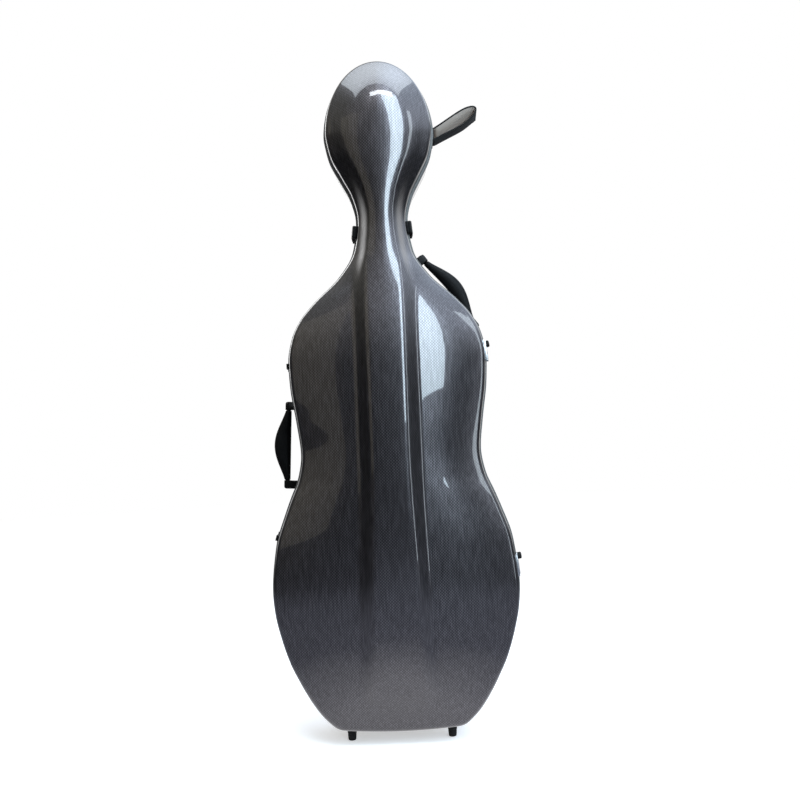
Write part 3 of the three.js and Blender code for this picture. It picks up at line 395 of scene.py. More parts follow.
class Rim:
    """The outline at its sample points, all the way round from the top, with what each needs."""

    def __init__(self, step):
        length = HALF_WALKED[-1]
        walked = list(np.linspace(0, length, int(length / step) + 1))
        notch_ends = [side * (NOTCH_HALF + more) for side in (-1, 1) for more in (-NOTCH_EDGE, NOTCH_EDGE)]
        walked += [place + end for place in HINGE_AT for end in notch_ends]
        walked = np.array(sorted(walked))
        half = read_at(walked, HALF_WALKED, HALF_OUTLINE)
        self.points = both_sides(half)
        self.count = len(self.points)
        way = np.gradient(HALF_OUTLINE, HALF_WALKED, axis=0)
        way[0], way[-1] = [1, 0], [-1, 0]
        way = read_at(walked, HALF_WALKED, way)
        self.inward = both_sides(unit(np.c_[way[:, 1], -way[:, 0]]))
        self.notch = np.zeros(self.count)
        for place in HINGE_AT:
            self.notch[: len(walked)][np.abs(walked - place) < NOTCH_HALF] = NOTCH_INSET
        spine = self.spine_heights(walked, half)
        self.spine = np.r_[spine, spine[-2:0:-1]]

    @staticmethod
    def spine_heights(walked, half):
        """How high on the spine the face's lines from the rim end, eased at the top and the bottom."""
        top, bottom, ease = SHELL_HEIGHT * SPINE_TOP, SHELL_HEIGHT * SPINE_BOTTOM, SHELL_HEIGHT * SPINE_EASE
        above = bottom + ease * np.log1p(np.exp((half[:, 1] - bottom) / ease))
        level = top - ease * np.log1p(np.exp((top - above) / ease))
        fan = top + (bottom - top) * walked / walked[-1]
        return level + (fan - level) * SPINE_FAN

    def inset(self, distance):
        return self.points + self.inward * np.reshape(distance, (-1, 1))

    def ring(self, inset, depth):
        """A ring at an inset from the rim and a depth from the seam plane, in millimetres."""
        return raised(self.inset(inset), depth)


class Shell:
    """One of the two mouldings: its depths down the case."""

    def __init__(self, side, fillet, power, depth, depths, wall_depth, walls, ridge):
        self.side, self.fillet, self.power = side, fillet, power
        self.total = along_case(depths, depth)
        self.wall = along_case(walls, wall_depth)
        self.ridge = along_case([0.2, 0.3, 0.6, 0.9, 1, 0.85, 0], ridge)
        self.ridge_share = along_case([1, 1, 0, 0, 0, 0.2, 0.4], 1.0)

    def depth(self, x, height, share, start):
        """Depth of the face a share of the way from its edge, which lies at start, to the spine."""
        arch = (self.total(height) - self.ridge(height) - start) * (1 - (1 - share) ** self.power)
        half = RIDGE_HALF + (HEAD_PLATFORM_HALF - RIDGE_HALF) * self.ridge_share(height)
        off = np.clip((np.abs(x) - half) / RIDGE_SIDE, 0, 1)
        on_ridge = 1 - off**3 * (10 - 15 * off + 6 * off**2)
        return start + arch + self.ridge(height) * on_ridge * eased(share * 2)

    def face(self, rim, shares, grow):
        """Rings of the rounded edge and of the face. The edge turns until it has the face's own slope."""
        wall = self.wall(rim.points[:, 1])
        turn = np.full(rim.count, math.pi / 2)
        radius = self.fillet + grow
        spine = np.c_[np.zeros(rim.count), rim.spine]
        for _ in range(6):
            start = wall + radius * np.sin(turn)
            edge = rim.inset(FLANGE_WIDTH - grow + radius * (1 - np.cos(turn)))
            probe = edge + (spine - edge) * PROBE
            depth = self.depth(probe[:, 0], probe[:, 1], PROBE, start - grow) + grow
            length = np.linalg.norm(spine - edge, axis=1) * PROBE
            turn = turn * 0.4 + (math.pi / 2 - np.arctan2(np.maximum(depth - start, 0), length)) * 0.6
        rings = []
        for part in (turn * k / EDGE_STEPS for k in range(1, EDGE_STEPS + 1)):
            inset = FLANGE_WIDTH - grow + radius * (1 - np.cos(part))
            rings.append(rim.ring(inset, self.side * (wall + radius * np.sin(part))))
        for share in shares:
            flat = edge + (spine - edge) * share
            depth = self.depth(flat[:, 0], flat[:, 1], share, start - grow) + grow
            rings.append(raised(flat, self.side * depth))
        return rings


LID = Shell(
    side=-1,
    fillet=16.0,
    power=2.2,
    depth=120.0,
    depths=[0.6, 0.68, 0.65, 0.97, 1, 0.96, 0.5],
    wall_depth=28.0,
    walls=[0.85, 0.85, 0.75, 1, 1, 1, 0.65],
    ridge=RIDGE_RISE,
)
BASE = Shell(
    side=1,
    fillet=18.0,
    power=3.0,
    depth=170.0,
    depths=[0.58, 0.64, 0.58, 0.86, 0.96, 1, 0.82],
    wall_depth=112.0,
    walls=[0.7, 0.78, 0.72, 0.86, 0.96, 1, 0.94],
    ridge=0.0,
)


def linked(name, data):
    """A new object in the scene."""
    thing = bpy.data.objects.new(name, data)
    bpy.context.scene.collection.objects.link(thing)
    return thing


def opened(mesh):
    bm = bmesh.new()
    bm.from_mesh(mesh)
    return bm


def solid_mesh(node):
    """A copy of a CAD solid's mesh in row metres."""
    source = frame["nodes"][node]
    mesh = source.data.copy()
    mesh.transform(source.matrix_world)
    return mesh


def mesh_piece(name, points, faces, look, body, weld=0.0, second=None, marked=()):
    """A smooth piece with its faces turned out. The marked ones take the second look."""
    mesh = bpy.data.meshes.new(name)
    mesh.from_pydata([tuple(point) for point in points], [], faces)
    mesh.validate()
    for each in filter(None, (look, second)):
        mesh.materials.append(LOOKS[each])
    for polygon in mesh.polygons:
        polygon.material_index = int(polygon.index in marked)
    mesh.shade_smooth()
    piece = linked(name, mesh)
    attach(piece, body)
    bm = opened(mesh)
    if weld:
        bmesh.ops.remove_doubles(bm, verts=bm.verts, dist=weld)
    bmesh.ops.dissolve_degenerate(bm, edges=bm.edges, dist=WELD / 10)
    bmesh.ops.recalc_face_normals(bm, faces=bm.faces)
    bm.to_mesh(mesh)
    bm.free()
    return piece


def sharpened(piece, angle):
    piece.data.set_sharp_from_angle(angle=math.radians(angle))
    return piece


def ring_faces(rings, count, closed=False, start=0):
    faces = []
    for k in range(rings if closed else rings - 1):
        a, b = start + k * count, start + ((k + 1) % rings) * count
        for i in range(count):
            j = (i + 1) % count
            faces.append((a + i, a + j, b + j, b + i))
    return faces


def placed(points, matrix):
    """Points in millimetres in a frame, as row points."""
    return np.asarray(points, float) * MM @ np.array(matrix.to_3x3()).T + np.array(matrix.translation)


def ring_piece(name, rings, look, body, matrix=None, closed=False, **more):
    """A piece through rings in millimetres, around the seam plane or in a frame of its own."""
    points = np.concatenate(rings)
    points = to_row(points) if matrix is None else placed(points, matrix)
    return mesh_piece(name, points, ring_faces(len(rings), len(rings[0]), closed), look, body, **more)


def spaced(count):
    return [k / count for k in range(1, count + 1)]


def lip_rings(rim, side):
    """The rim: a rounded flange with a small hollow corner where it meets the wall."""
    rows = [(0.5, SEAM_STEP), (0.12, SEAM_STEP + 0.15), (0.0, SEAM_STEP + 0.6)]
    rows.append((0.0, FLANGE_END - FLANGE_ROUND))
    for turn in (0.5, 1.0, math.pi / 2):
        rows.append((FLANGE_ROUND * (1 - math.cos(turn)), FLANGE_END - FLANGE_ROUND * (1 - math.sin(turn))))
    rows += [(FLANGE_WIDTH - 1.2, FLANGE_END), (FLANGE_WIDTH - 0.35, FLANGE_END + 0.3)]
    rows.append((FLANGE_WIDTH, FLANGE_END + 1.1))
    return [rim.ring(np.maximum(inset, rim.notch), side * depth) for inset, depth in rows]


def shell_piece(name, shell, node, body):
    """A hollow moulding: its inside, the rim in the trim's look, and its outside."""
    rim = Rim(SHELL_STEP)
    inner = [rim.ring(FLANGE_WIDTH + SKIN, shell.side * SEAM_STEP)]
    inner += shell.face(rim, spaced(INSIDE_STEPS), -SKIN)
    lip = lip_rings(rim, shell.side)
    rings = inner[::-1] + lip + shell.face(rim, spaced(OUTSIDE_STEPS), 0.0)
    trim = range((len(inner) - 1) * rim.count, (len(inner) + len(lip) - 2) * rim.count)
    piece = ring_piece(name, rings, "shell", body, weld=WELD, second="trim", marked=trim)
    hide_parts(node)
    return piece


shell_piece("lid_moulding", LID, "lid_shell", "lid")
shell_piece("base_moulding", BASE, "base_shell", "case")


def lining_piece(name, shell, node, body, thickness):
    """Plush over foam, with a rounded edge along the rim and a soft, slightly uneven face."""
    rim = Rim(LINING_STEP)
    back = -(SKIN + 0.3)
    front = back - thickness
    rings = [rim.ring(FLANGE_WIDTH - back, shell.side * (LINING_SET_BACK + 0.8))]
    rings += shell.face(rim, spaced(LINING_BACK_STEPS), back)
    rings.reverse()
    for turn in (0.25, 0.75, 1.25, math.pi / 2 + 0.3):
        inset = FLANGE_WIDTH - back + thickness * 0.5 * (1 - math.cos(turn))
        rings.append(rim.ring(inset, shell.side * (LINING_SET_BACK + 0.9 * (1 - math.sin(turn)))))
    rings.append(rim.ring(FLANGE_WIDTH - front, shell.side * (LINING_SET_BACK + 1.6)))
    rings += shell.face(rim, spaced(LINING_FRONT_STEPS), front)
    piece = ring_piece(name, rings, "plush", body, weld=WELD)
    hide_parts(node)
    return piece


lining_piece("lid_plush", LID, "lid_lining", "lid", 4.0)
lining_piece("base_plush", BASE, "base_lining", "case", 7.0)


def seal_piece():
    """The rubber bead between the two rims, with a rounded nose."""
    rim = Rim(SEAL_STEP)
    half, start, width, nose, clear = 0.5, 3.3, 4.0, 0.4, 0.5
    turns = np.linspace(-math.pi / 2, math.pi / 2, 7)
    rows = [(start + nose * (1 - math.cos(turn)), half * math.sin(turn)) for turn in turns]
    rows += [(start + width, half), (start + width, -half)]
    rings = [rim.ring(np.maximum(inset, rim.notch + clear), depth) for inset, depth in rows]
    piece = ring_piece("rim_seal_bead", rings, "rubber", "case", closed=True)
    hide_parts("rim_seal")
    return piece


seal_piece()


# Fittings

BOTTOM_FOOT = [(0.05, 0), (5.6, 0), (7.6, 0.7), (8.1, 2.6), (8.8, 11.6), (8.2, 12.2), (8.2, 13.1)]
BOTTOM_FOOT += [(9.0, 13.7), (9.8, 23.5), (10.0, 25.2), (10.0, 33.0), (0.05, 33.0)]
SIDE_FOOT = [(0.05, 17), (5.4, 17), (6.6, 16.4), (7.0, 14.6), (7.0, 4.4), (7.6, 2.2), (9.4, 0.6)]
SIDE_FOOT += [(11.4, -2.0), (12.0, -3.2), (12.0, -4.6), (0.05, -4.6)]
TURNED_SIDES = 48
SIDE_FOOT_HEIGHTS, SIDE_FOOT_DEPTH = {"upper": 769.0, "lower": 330.0}, 62.0
HANDLE_DEPTH, GRIP_CLEAR, GRIP_END, GRIP_THICK, GRIP_INSET = 60.0, 8.8, 12.0, 22.0, 5.0
GRIP_SIDES, GRIP_STEPS, GRIP_SQUARE, STUB_RADIUS, STUB_SUNK, STUB_OUT = 36, 60, 0.86, 3.2, 2.0, 6.6
LOOP_WIDTH, LOOP_BAND, LOOP_REACH, LOOP_WIDEST, LOOP_HEIGHT = 38.0, 3.0, 92.0, 60.0, 136.0
LOOP_ROOT, LOOP_HALF, LOOP_SLOPE, LOOP_DEPTH, LOOP_LEAN = 11.0, 14.5, 0.46, 40.0, 0.6
LOOP_STEPS, LOOP_INNER, LOOP_GAP, LOOP_PLATE = 320, 8, 0.3, 4.0


def basis(x, y, z, origin):
    matrix = Matrix.Identity(4)
    for column, axis in enumerate((x, y, z)):
        matrix.col[column][:3] = axis
    matrix.translation = origin
    return matrix


def upright(place):
    """A frame for a turned piece whose axis points up."""
    return basis((0, 0, 1), (1, 0, 0), (0, 1, 0), Vector(place))


def rim_frame(height, side):
    """A place on the side of the case: x out, y towards the back, z along the rim, in metres."""
    up, step = HALF_OUTLINE[::-1], 1.3
    half, above, below = np.interp([height, height + step, height - step], up[:, 1], up[:, 0])
    out = Vector((side, 0, -(above - below) / 2 / step)).normalized()
    back = Vector((0, 1, 0))
    return basis(out, back, out.cross(back), Vector(to_row([side * half, 0, FOOT_LEVEL + height])))


def turned(rows):
    """Rings of a turned piece: rows of (radius, height) around the x axis."""
    turns = circle(TURNED_SIDES)
    level, cos, sin = np.ones(TURNED_SIDES), np.cos(turns), np.sin(turns)
    return [np.c_[level * rise, radius * cos, radius * sin] for radius, rise in rows]


def refined(node, look, bevel=0.5, angle=40.0):
    """A CAD node's own form with its edges rounded."""
    mesh = solid_mesh(node)
    mesh.materials.clear()
    mesh.materials.append(LOOKS[look])
    bm = opened(mesh)
    bmesh.ops.remove_doubles(bm, verts=bm.verts, dist=2 * WELD)
    bmesh.ops.dissolve_limit(bm, angle_limit=math.radians(2), verts=bm.verts, edges=bm.edges)
    bent = [e for e in bm.edges if len(e.link_faces) == 2 and e.calc_face_angle(0) > math.radians(angle)]
    rounding = {"segments": 2, "profile": 0.6, "affect": "EDGES", "clamp_overlap": True}
    bmesh.ops.bevel(bm, geom=bent, offset=bevel * MM, **rounding)
    bm.to_mesh(mesh)
    bm.free()
    piece = linked(node + "_form", mesh)
    mesh.shade_smooth()
    sharpened(piece, 50)
    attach(piece, BODY_OF[node])
    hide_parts(node)
    return piece


def foot(node, rows, radius, matrix):
    """A turned rubber foot with its corners rounded."""
    rings = turned(rounded(rows, radius))
    piece = ring_piece(node + "_rubber", rings, "rubber", BODY_OF[node], matrix, weld=WELD)
    sharpened(piece, 55)
    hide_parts(node)
    return piece


def rounded(corners, radius, steps=4):
    """Rows with each inner corner rounded off."""
    rows = [corners[0]]
    for triple in zip(corners, corners[1:], corners[2:]):
        before, corner, after = (np.array(place, float) for place in triple)
        back, on = np.linalg.norm(before - corner), np.linalg.norm(after - corner)
        cut = min(radius, back / 2, on / 2)
        start, end = corner + (before - corner) / back * cut, corner + (after - corner) / on * cut
        for t in np.linspace(0, 1, steps + 1):
            rows.append(tuple(start * (1 - t) ** 2 + corner * 2 * t * (1 - t) + end * t * t))
    rows.append(corners[-1])
    return rows


def add_feet():
    for row in ("front", "back"):
        for hand in ("left", "right"):
            node = f"bottom_foot_{row}_{hand}"
            middle = box(node)[2]
            foot(node, BOTTOM_FOOT, 0.5, upright((middle[0], middle[1], 0)))
    for place, height in SIDE_FOOT_HEIGHTS.items():
        matrix = rim_frame(height, 1) @ Matrix.Translation((0, SIDE_FOOT_DEPTH * MM, 0))
        foot(f"side_foot_{place}", SIDE_FOOT, 0.8, matrix)


def handle_frame(ends, side):
    """Between two pivots, each a height down the rim and a stand-off from it."""
    upper, lower = (rim_frame(h, side) @ Vector((off * MM, HANDLE_DEPTH * MM, 0)) for h, off in ends)
    up = (upper - lower).normalized()
    across = Vector((0, side, 0))
    matrix = basis(across.cross(up).normalized(), across, up, (upper + lower) / 2)
    return matrix, (upper - lower).length / MM


def add_grip(name, ends, side, width, bow):
    """A crescent grip with a soft-cornered section, a parting line, drawn-in ends and pivot stubs."""
    matrix, span = handle_frame(ends, side)
    half = span / 2 - GRIP_CLEAR
    cos, sin = np.cos(circle(GRIP_SIDES)), np.sin(circle(GRIP_SIDES))
    round_x, round_y = (np.sign(wave) * np.abs(wave) ** GRIP_SQUARE for wave in (cos, sin))
    rings = []
    for along in np.linspace(-1, 1, GRIP_STEPS + 1):
        swell = max(math.cos(math.pi / 2 * along), 0.0) ** 1.3
        wide = (GRIP_END + (width - GRIP_END) * swell) / 2
        thick = (GRIP_END + (GRIP_THICK - GRIP_END) * math.sqrt(swell)) / 2
        shrink = 0.72 + 0.28 * math.sqrt(min(1.0, (1 - abs(along)) / 0.02))
        parting = 1 - 0.02 * np.exp(-((cos / 0.09) ** 2)) * swell
        x = wide + bow * swell - GRIP_INSET + wide * shrink * round_x * parting
        y = thick * shrink * round_y * parting
        rings.append(np.c_[x, y, np.full(GRIP_SIDES, half * along)])
    caps = []
    for ring in (rings[0], rings[-1]):
        middle = ring.mean(axis=0)
        caps.append([middle + (ring - middle) * share for share in (0.6, 0.02)])
    rings = caps[0][::-1] + rings + caps[1]
    faces = ring_faces(len(rings), GRIP_SIDES)
    for end in (-1, 1):
        faces += ring_faces(2, GRIP_SIDES, start=len(rings) * GRIP_SIDES)
        for level in (half - STUB_SUNK, half + STUB_OUT):
            rise = np.full(GRIP_SIDES, end * level)
            rings.append(np.c_[STUB_RADIUS * cos, STUB_RADIUS * sin, rise])
    node = name + "_grip"
    piece = mesh_piece(node + "_form", placed(np.concatenate(rings), matrix), faces, "grip", BODY_OF[node])
    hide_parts(node)
    return piece


def loop_line():
    """The middle line of the loop's band, x out of the rim and z along it, closed at its root."""
    share = np.linspace(0, 1, 60)[:-1]
    strand = np.c_[LOOP_WIDEST * share, LOOP_ROOT + (LOOP_HALF - LOOP_ROOT) * eased(share)]
    turns = np.linspace(math.pi / 2, -math.pi / 2, 80)
    reach = LOOP_WIDEST + (LOOP_REACH - LOOP_WIDEST) * np.cos(turns)
    tip = np.c_[reach, LOOP_HALF * np.sin(turns)]
    line = np.concatenate([strand, tip, strand[::-1] * [1, -1], strand[:1]])
    line = softened(spread(line, LOOP_STEPS + 1)[:-1], 3.0, closed=True)
    return np.c_[line[:, 0] + LOOP_BAND / 2, line[:, 1] + line[:, 0] * LOOP_SLOPE]


def add_loop():
    """The webbing loop at the head: black outside, pale inside, clamped at its root."""
    middle = loop_line()
    way = unit(np.roll(middle, -1, axis=0) - np.roll(middle, 1, axis=0))
    out = np.c_[way[:, 1], -way[:, 0]]
    eighth = len(out) // 8
    out *= np.sign(np.dot(out[eighth], middle[eighth] - middle.mean(axis=0)))
    section = [(-1, 0.3), (-0.985, 0.44), (-0.95, 0.5), (0.95, 0.5), (0.985, 0.44), (1, 0.3)]
    section += [(1, -0.3), (0.985, -0.44), (0.95, -0.5), (-0.95, -0.5), (-0.985, -0.44), (-1, -0.3)]
    root = LOOP_PLATE - FLANGE_WIDTH + 0.3 + LOOP_GAP
    rings = []
    for point, side in zip(middle, out):
        upper = eased((point[1] - point[0] * LOOP_SLOPE) / LOOP_HALF / 2 + 0.5)
        lean = LOOP_LEAN * LOOP_WIDTH / 2 * upper * eased(point[0] / LOOP_ROOT)
        ring = []
        for wide, deep in section:
            x, z = point + side * LOOP_BAND * deep - (0, lean * (wide + 1))
            ring.append((max(x, 0) + root, wide * LOOP_WIDTH / 2 + LOOP_DEPTH, z))
        rings.append(ring)
    matrix = rim_frame(SHELL_HEIGHT - LOOP_HEIGHT, 1)
    looks = {"second": "loop_inside", "marked": range(LOOP_INNER, len(rings) * len(section), len(section))}
    piece = ring_piece("head_loop_band", rings, "webbing", "case", matrix, True, **looks)
    sharpened(piece, 60)
    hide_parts("head_loop")
    return piece


add_feet()
add_grip("side_handle", ((662.0, 15.0), (488.0, 22.0)), -1, 34.0, 0.0)
add_grip("shoulder_handle", ((944.0, 17.0), (811.0, 3.0)), 1, 30.0, 6.0)
add_loop()
for each in ("side_handle", "shoulder_handle"):
    for place in ("upper", "lower"):
        refined(f"{each}_{place}_bracket", "plastic", 0.8)
for each in ("neck_left", "neck_right", "upper", "lower"):
    for part, cut in (("plate", 0.5), ("lever", 0.7), ("keeper", 0.6)):
        refined(f"latch_{each}_{part}", "plastic", cut)
refined("head_loop_plate", "plastic", 1.0)
for each in ("upper", "lower"):
    for part, cut in (("base_leaf", 0.4), ("lid_leaf", 0.4), ("pin", 0.3)):
        refined(f"hinge_{each}_{part}", "steel", cut)
for each in ("top", "left", "right"):
    refined(f"strap_ring_{each}_plate", "plastic", 0.8)
    refined(f"strap_ring_{each}", "steel", 0.3, 80.0)
for each in ("left", "right"):
    refined(f"bow_clip_base_{each}", "plastic", 0.5)
    refined(f"bow_clip_{each}", "plastic", 0.7)


# The soft inside

CLOTH_STEPS, LID_WAY, BASE_WAY = 20, 1, -1
ALL_AXES = {"use_axis_x": True, "use_axis_y": True, "use_axis_z": True}
PAD = ("pad", "plush", 5.0, 2.5, 7.0, 4.0, 0.7)
FOAM = [
    # node, look, slot, voxel, sink, cap, crown, fill
    *((f"{level}_pad_{hand}", *PAD) for level in ("lower", "upper") for hand in ("left", "right")),
    ("endpin_block", "pad", "plush", 4.5, 1.5, 3.5, 2.0, 0.9),
    ("neck_cradle", "pad", "plush", 4.0, 1.5, 3.0, 1.5, 0.9),
    ("accessory_pouch", "pouch", "webbing", 4.5, 2.0, 5.0, 3.5, 0.6),
]
FLAP_COLUMNS, FLAP_ROWS, FLAP_DROP, FLAP_MARGIN = 61, 27, 0.05, 0.004
POCKET_STEPS, BORE_DEPTH, BORE_HEIGHT = 34, 0.074, 0.046
CORD = [(1.5 * math.cos(turn), 1.5 * math.sin(turn)) for turn in circle(8)]
TAB = [(-10, 0.42), (-9.6, 0.7), (9.6, 0.7), (10, 0.42)]
TAB += [(-x, -y) for x, y in TAB]
PIPING_INSET, SEAM_INSET, PIPING_OFF, THREAD_OFF, CAST = 4.5, 9.0, 0.2, 0.05, 0.03


def evaluated(piece):
    """A mesh of a piece as its modifiers leave it."""
    graph = bpy.context.evaluated_depsgraph_get()
    graph.update()
    return bpy.data.meshes.new_from_object(piece.evaluated_get(graph))


def applied(piece, look):
    """Makes what the modifiers leave the piece's own mesh."""
    mesh = evaluated(piece)
    piece.modifiers.clear()
    piece.data = mesh
    mesh.materials.clear()
    mesh.materials.append(LOOKS[look])
    return mesh


def coordinates(mesh):
    values = np.empty(len(mesh.vertices) * 3)
    mesh.vertices.foreach_get("co", values)
    return values.reshape(-1, 3)


def put_coordinates(mesh, points):
    mesh.vertices.foreach_set("co", np.asarray(points, float).ravel())
    mesh.update()


def search_tree(mesh):
    bm = opened(mesh)
    tree = BVHTree.FromBMesh(bm)
    bm.free()
    return tree


def foam_start(node, look, voxel, sink):
    """The CAD solid's form in even small faces, with soft corners, drawn in before it swells."""
    piece = linked(node + "_cover", solid_mesh(node))
    even = piece.modifiers.new("even", "REMESH")
    even.mode, even.voxel_size = "VOXEL", voxel * MM
    mesh = applied(piece, look)
    bm = opened(mesh)
    for _ in range(4):
        bmesh.ops.smooth_vert(bm, verts=bm.verts, factor=0.5, **ALL_AXES)
    bm.normal_update()
    for vert in bm.verts:
        vert.co -= vert.normal * sink * MM
    bm.to_mesh(mesh)
    bm.free()
    return piece


def swell(pieces):
    """One cloth simulation blows all the foam covers up together. Returns where their points go."""
    starts = [coordinates(piece.data) for piece in pieces]
    firsts = np.cumsum([0] + [len(start) for start in starts]).tolist()
    faces = []
    for piece, first in zip(pieces, firsts):
        faces += [tuple(first + i for i in polygon.vertices) for polygon in piece.data.polygons]
    mesh = bpy.data.meshes.new("swelling")
    mesh.from_pydata([tuple(point) for point in np.concatenate(starts)], [], faces)
    body = linked("swelling", mesh)
    cloth = body.modifiers.new("cloth", "CLOTH")
    cloth.settings.quality = 5
    cloth.settings.mass = 0.3
    cloth.settings.tension_stiffness = cloth.settings.compression_stiffness = 15
    cloth.settings.shear_stiffness, cloth.settings.bending_stiffness = 5, 0.5
    cloth.settings.use_pressure = True
    cloth.settings.uniform_pressure_force = 4
    cloth.settings.effector_weights.gravity = 0
    cloth.collision_settings.use_collision = False
    cloth.point_cache.frame_start, cloth.point_cache.frame_end = 1, CLOTH_STEPS
    scene = bpy.context.scene
    for step in range(1, CLOTH_STEPS + 1):
        scene.frame_set(step)
    blown = evaluated(body)
    moved = coordinates(blown)
    scene.frame_set(1)
    bpy.data.objects.remove(body)
    bpy.data.meshes.remove(blown)
    return np.split(moved, firsts[1:-1])


def settled(piece, node, look, start, end, cap, crown):
    """Caps how far the points moved and keeps all but the crowned front inside the CAD solid."""
    move = end - start
    length = np.linalg.norm(move, axis=1)[:, None]
    move *= np.minimum(1, cap * MM / np.maximum(length, 1e-9))
    tree = search_tree(solid_mesh(node))
    points = []
    for point in start + move:
        near, normal, _, distance = tree.find_nearest(Vector(point))
        if (Vector(point) - near).dot(normal) > 0:
            allowed = crown * MM * max(0.0, normal.y * BASE_WAY)
            if distance > allowed:
                point = near + normal * allowed
        points.append(tuple(point))
    put_coordinates(piece.data, points)
    piece.modifiers.new("soft", "SUBSURF").levels = 1
    applied(piece, look).shade_smooth()


def front_loop(node, inset):
    """The closed edge of a solid's front face, drawn in a little, with its corners rounded."""
    bm = opened(solid_mesh(node))
    bmesh.ops.remove_doubles(bm, verts=bm.verts, dist=2 * WELD)
    faces = {face for face in bm.faces if face.normal.y * BASE_WAY > 0.95}
    links = {}
    for edge in bm.edges:
        if sum(face in faces for face in edge.link_faces) == 1:
            for vert in edge.verts:
                links.setdefault(vert.index, []).append(edge.other_vert(vert).index)
    bm.verts.ensure_lookup_table()
    first = max(links, key=lambda i: bm.verts[i].co.z)
    loop, before = [first], None
    while True:
        steps = [i for i in links[loop[-1]] if i != before]
        if not steps or steps[0] == first:
            break
        before = loop[-1]
        loop.append(steps[0])
    points = np.array([bm.verts[i].co for i in loop + loop[:1]])
    bm.free()
    count = max(24, int(walk(points)[-1] / 0.004))
    points = softened(spread(points, count + 1)[:-1], 1.6, closed=True)
    way = np.roll(points, -1, axis=0) - np.roll(points, 1, axis=0)
    side = unit(np.c_[way[:, 2], np.zeros(count), -way[:, 0]])
    turn = np.sign(np.sum((points.mean(axis=0) - points) * side))
    return points + side * turn * inset * MM


def laid_on(points, tree, front, off):
    """Moves points along the depth until they lie on a cover, a small way off it."""
    out = []
    for x, y, z in points:
        hit = tree.ray_cast(Vector((x, y + front * CAST, z)), Vector((0, -front, 0)), 2 * CAST)[0]
        out.append((x, (hit.y if hit is not None else y) + front * off * MM, z))
    return np.array(out)


def swept(name, line, section, look, body, closed=False):
    """A cord or band along a line that lies roughly across the depth, its section in millimetres."""
    way = np.roll(line, -1, axis=0) - np.roll(line, 1, axis=0) if closed else np.gradient(line, axis=0)
    way = unit(way)
    side = unit(np.cross(way, [0, 1, 0]))
    up = np.cross(side, way)
    points = np.stack([line + (side * a + up * b) * MM for a, b in section], axis=1).reshape(-1, 3)
    count = len(section)
    faces = ring_faces(len(line), count, closed)
    if not closed:
        faces += [tuple(range(count)), tuple(range(len(points) - count, len(points)))]
    return mesh_piece(name, points, faces, look, body)


def stitches(name, line, body, length=3.2, gap=1.6, radius=0.35, closed=True):
    """A row of short raised threads along a line."""
    path = np.concatenate([line, line[:1]]) if closed else line
    walked = walk(path) / MM
    count = int(walked[-1] // (length + gap))
    sides, steps = 6, 4
    points, faces = [], []
    for k in range(count):
        start = k * walked[-1] / count
        run = read_at(np.linspace(start, start + length, steps), walked, path)
        way = (run[-1] - run[0]) / max(np.linalg.norm(run[-1] - run[0]), 1e-9)
        side = np.cross(way, [0, 1, 0])
        side /= max(np.linalg.norm(side), 1e-9)
        up = np.cross(side, way)
        first, last = len(points), len(points) + (steps - 1) * sides
        for step, centre in enumerate(run):
            thick = radius * MM * (0.55 if step in (0, steps - 1) else 1.0)
            points += [centre + (side * math.cos(t) + up * math.sin(t)) * thick for t in circle(sides)]
        faces += ring_faces(steps, sides, start=first)
        faces += [tuple(range(first, first + sides)), tuple(range(last, last + sides))]
    return mesh_piece(name, points, faces, "thread", body)


def add_foam():
    pieces = [foam_start(node, look, voxel, sink) for node, look, _, voxel, sink, *_ in FOAM]
    starts = [coordinates(piece.data) for piece in pieces]
    for piece, start, end, row in zip(pieces, starts, swell(pieces), FOAM):
        node, look, slot, _, _, cap, crown, fill = row
        settled(piece, node, look, start, end, cap, crown)
        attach(piece, BODY_OF[node])
        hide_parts(node)
        tree = search_tree(piece.data)
        if "pad" in node:
            line = laid_on(front_loop(node, PIPING_INSET), tree, BASE_WAY, PIPING_OFF)
            swept(node + "_piping", line, CORD, "pouch", "case", closed=True)
            line = laid_on(front_loop(node, SEAM_INSET), tree, BASE_WAY, THREAD_OFF)
            stitches(node + "_seam", line, "case")
        if node == "accessory_pouch":
            add_flap(tree)


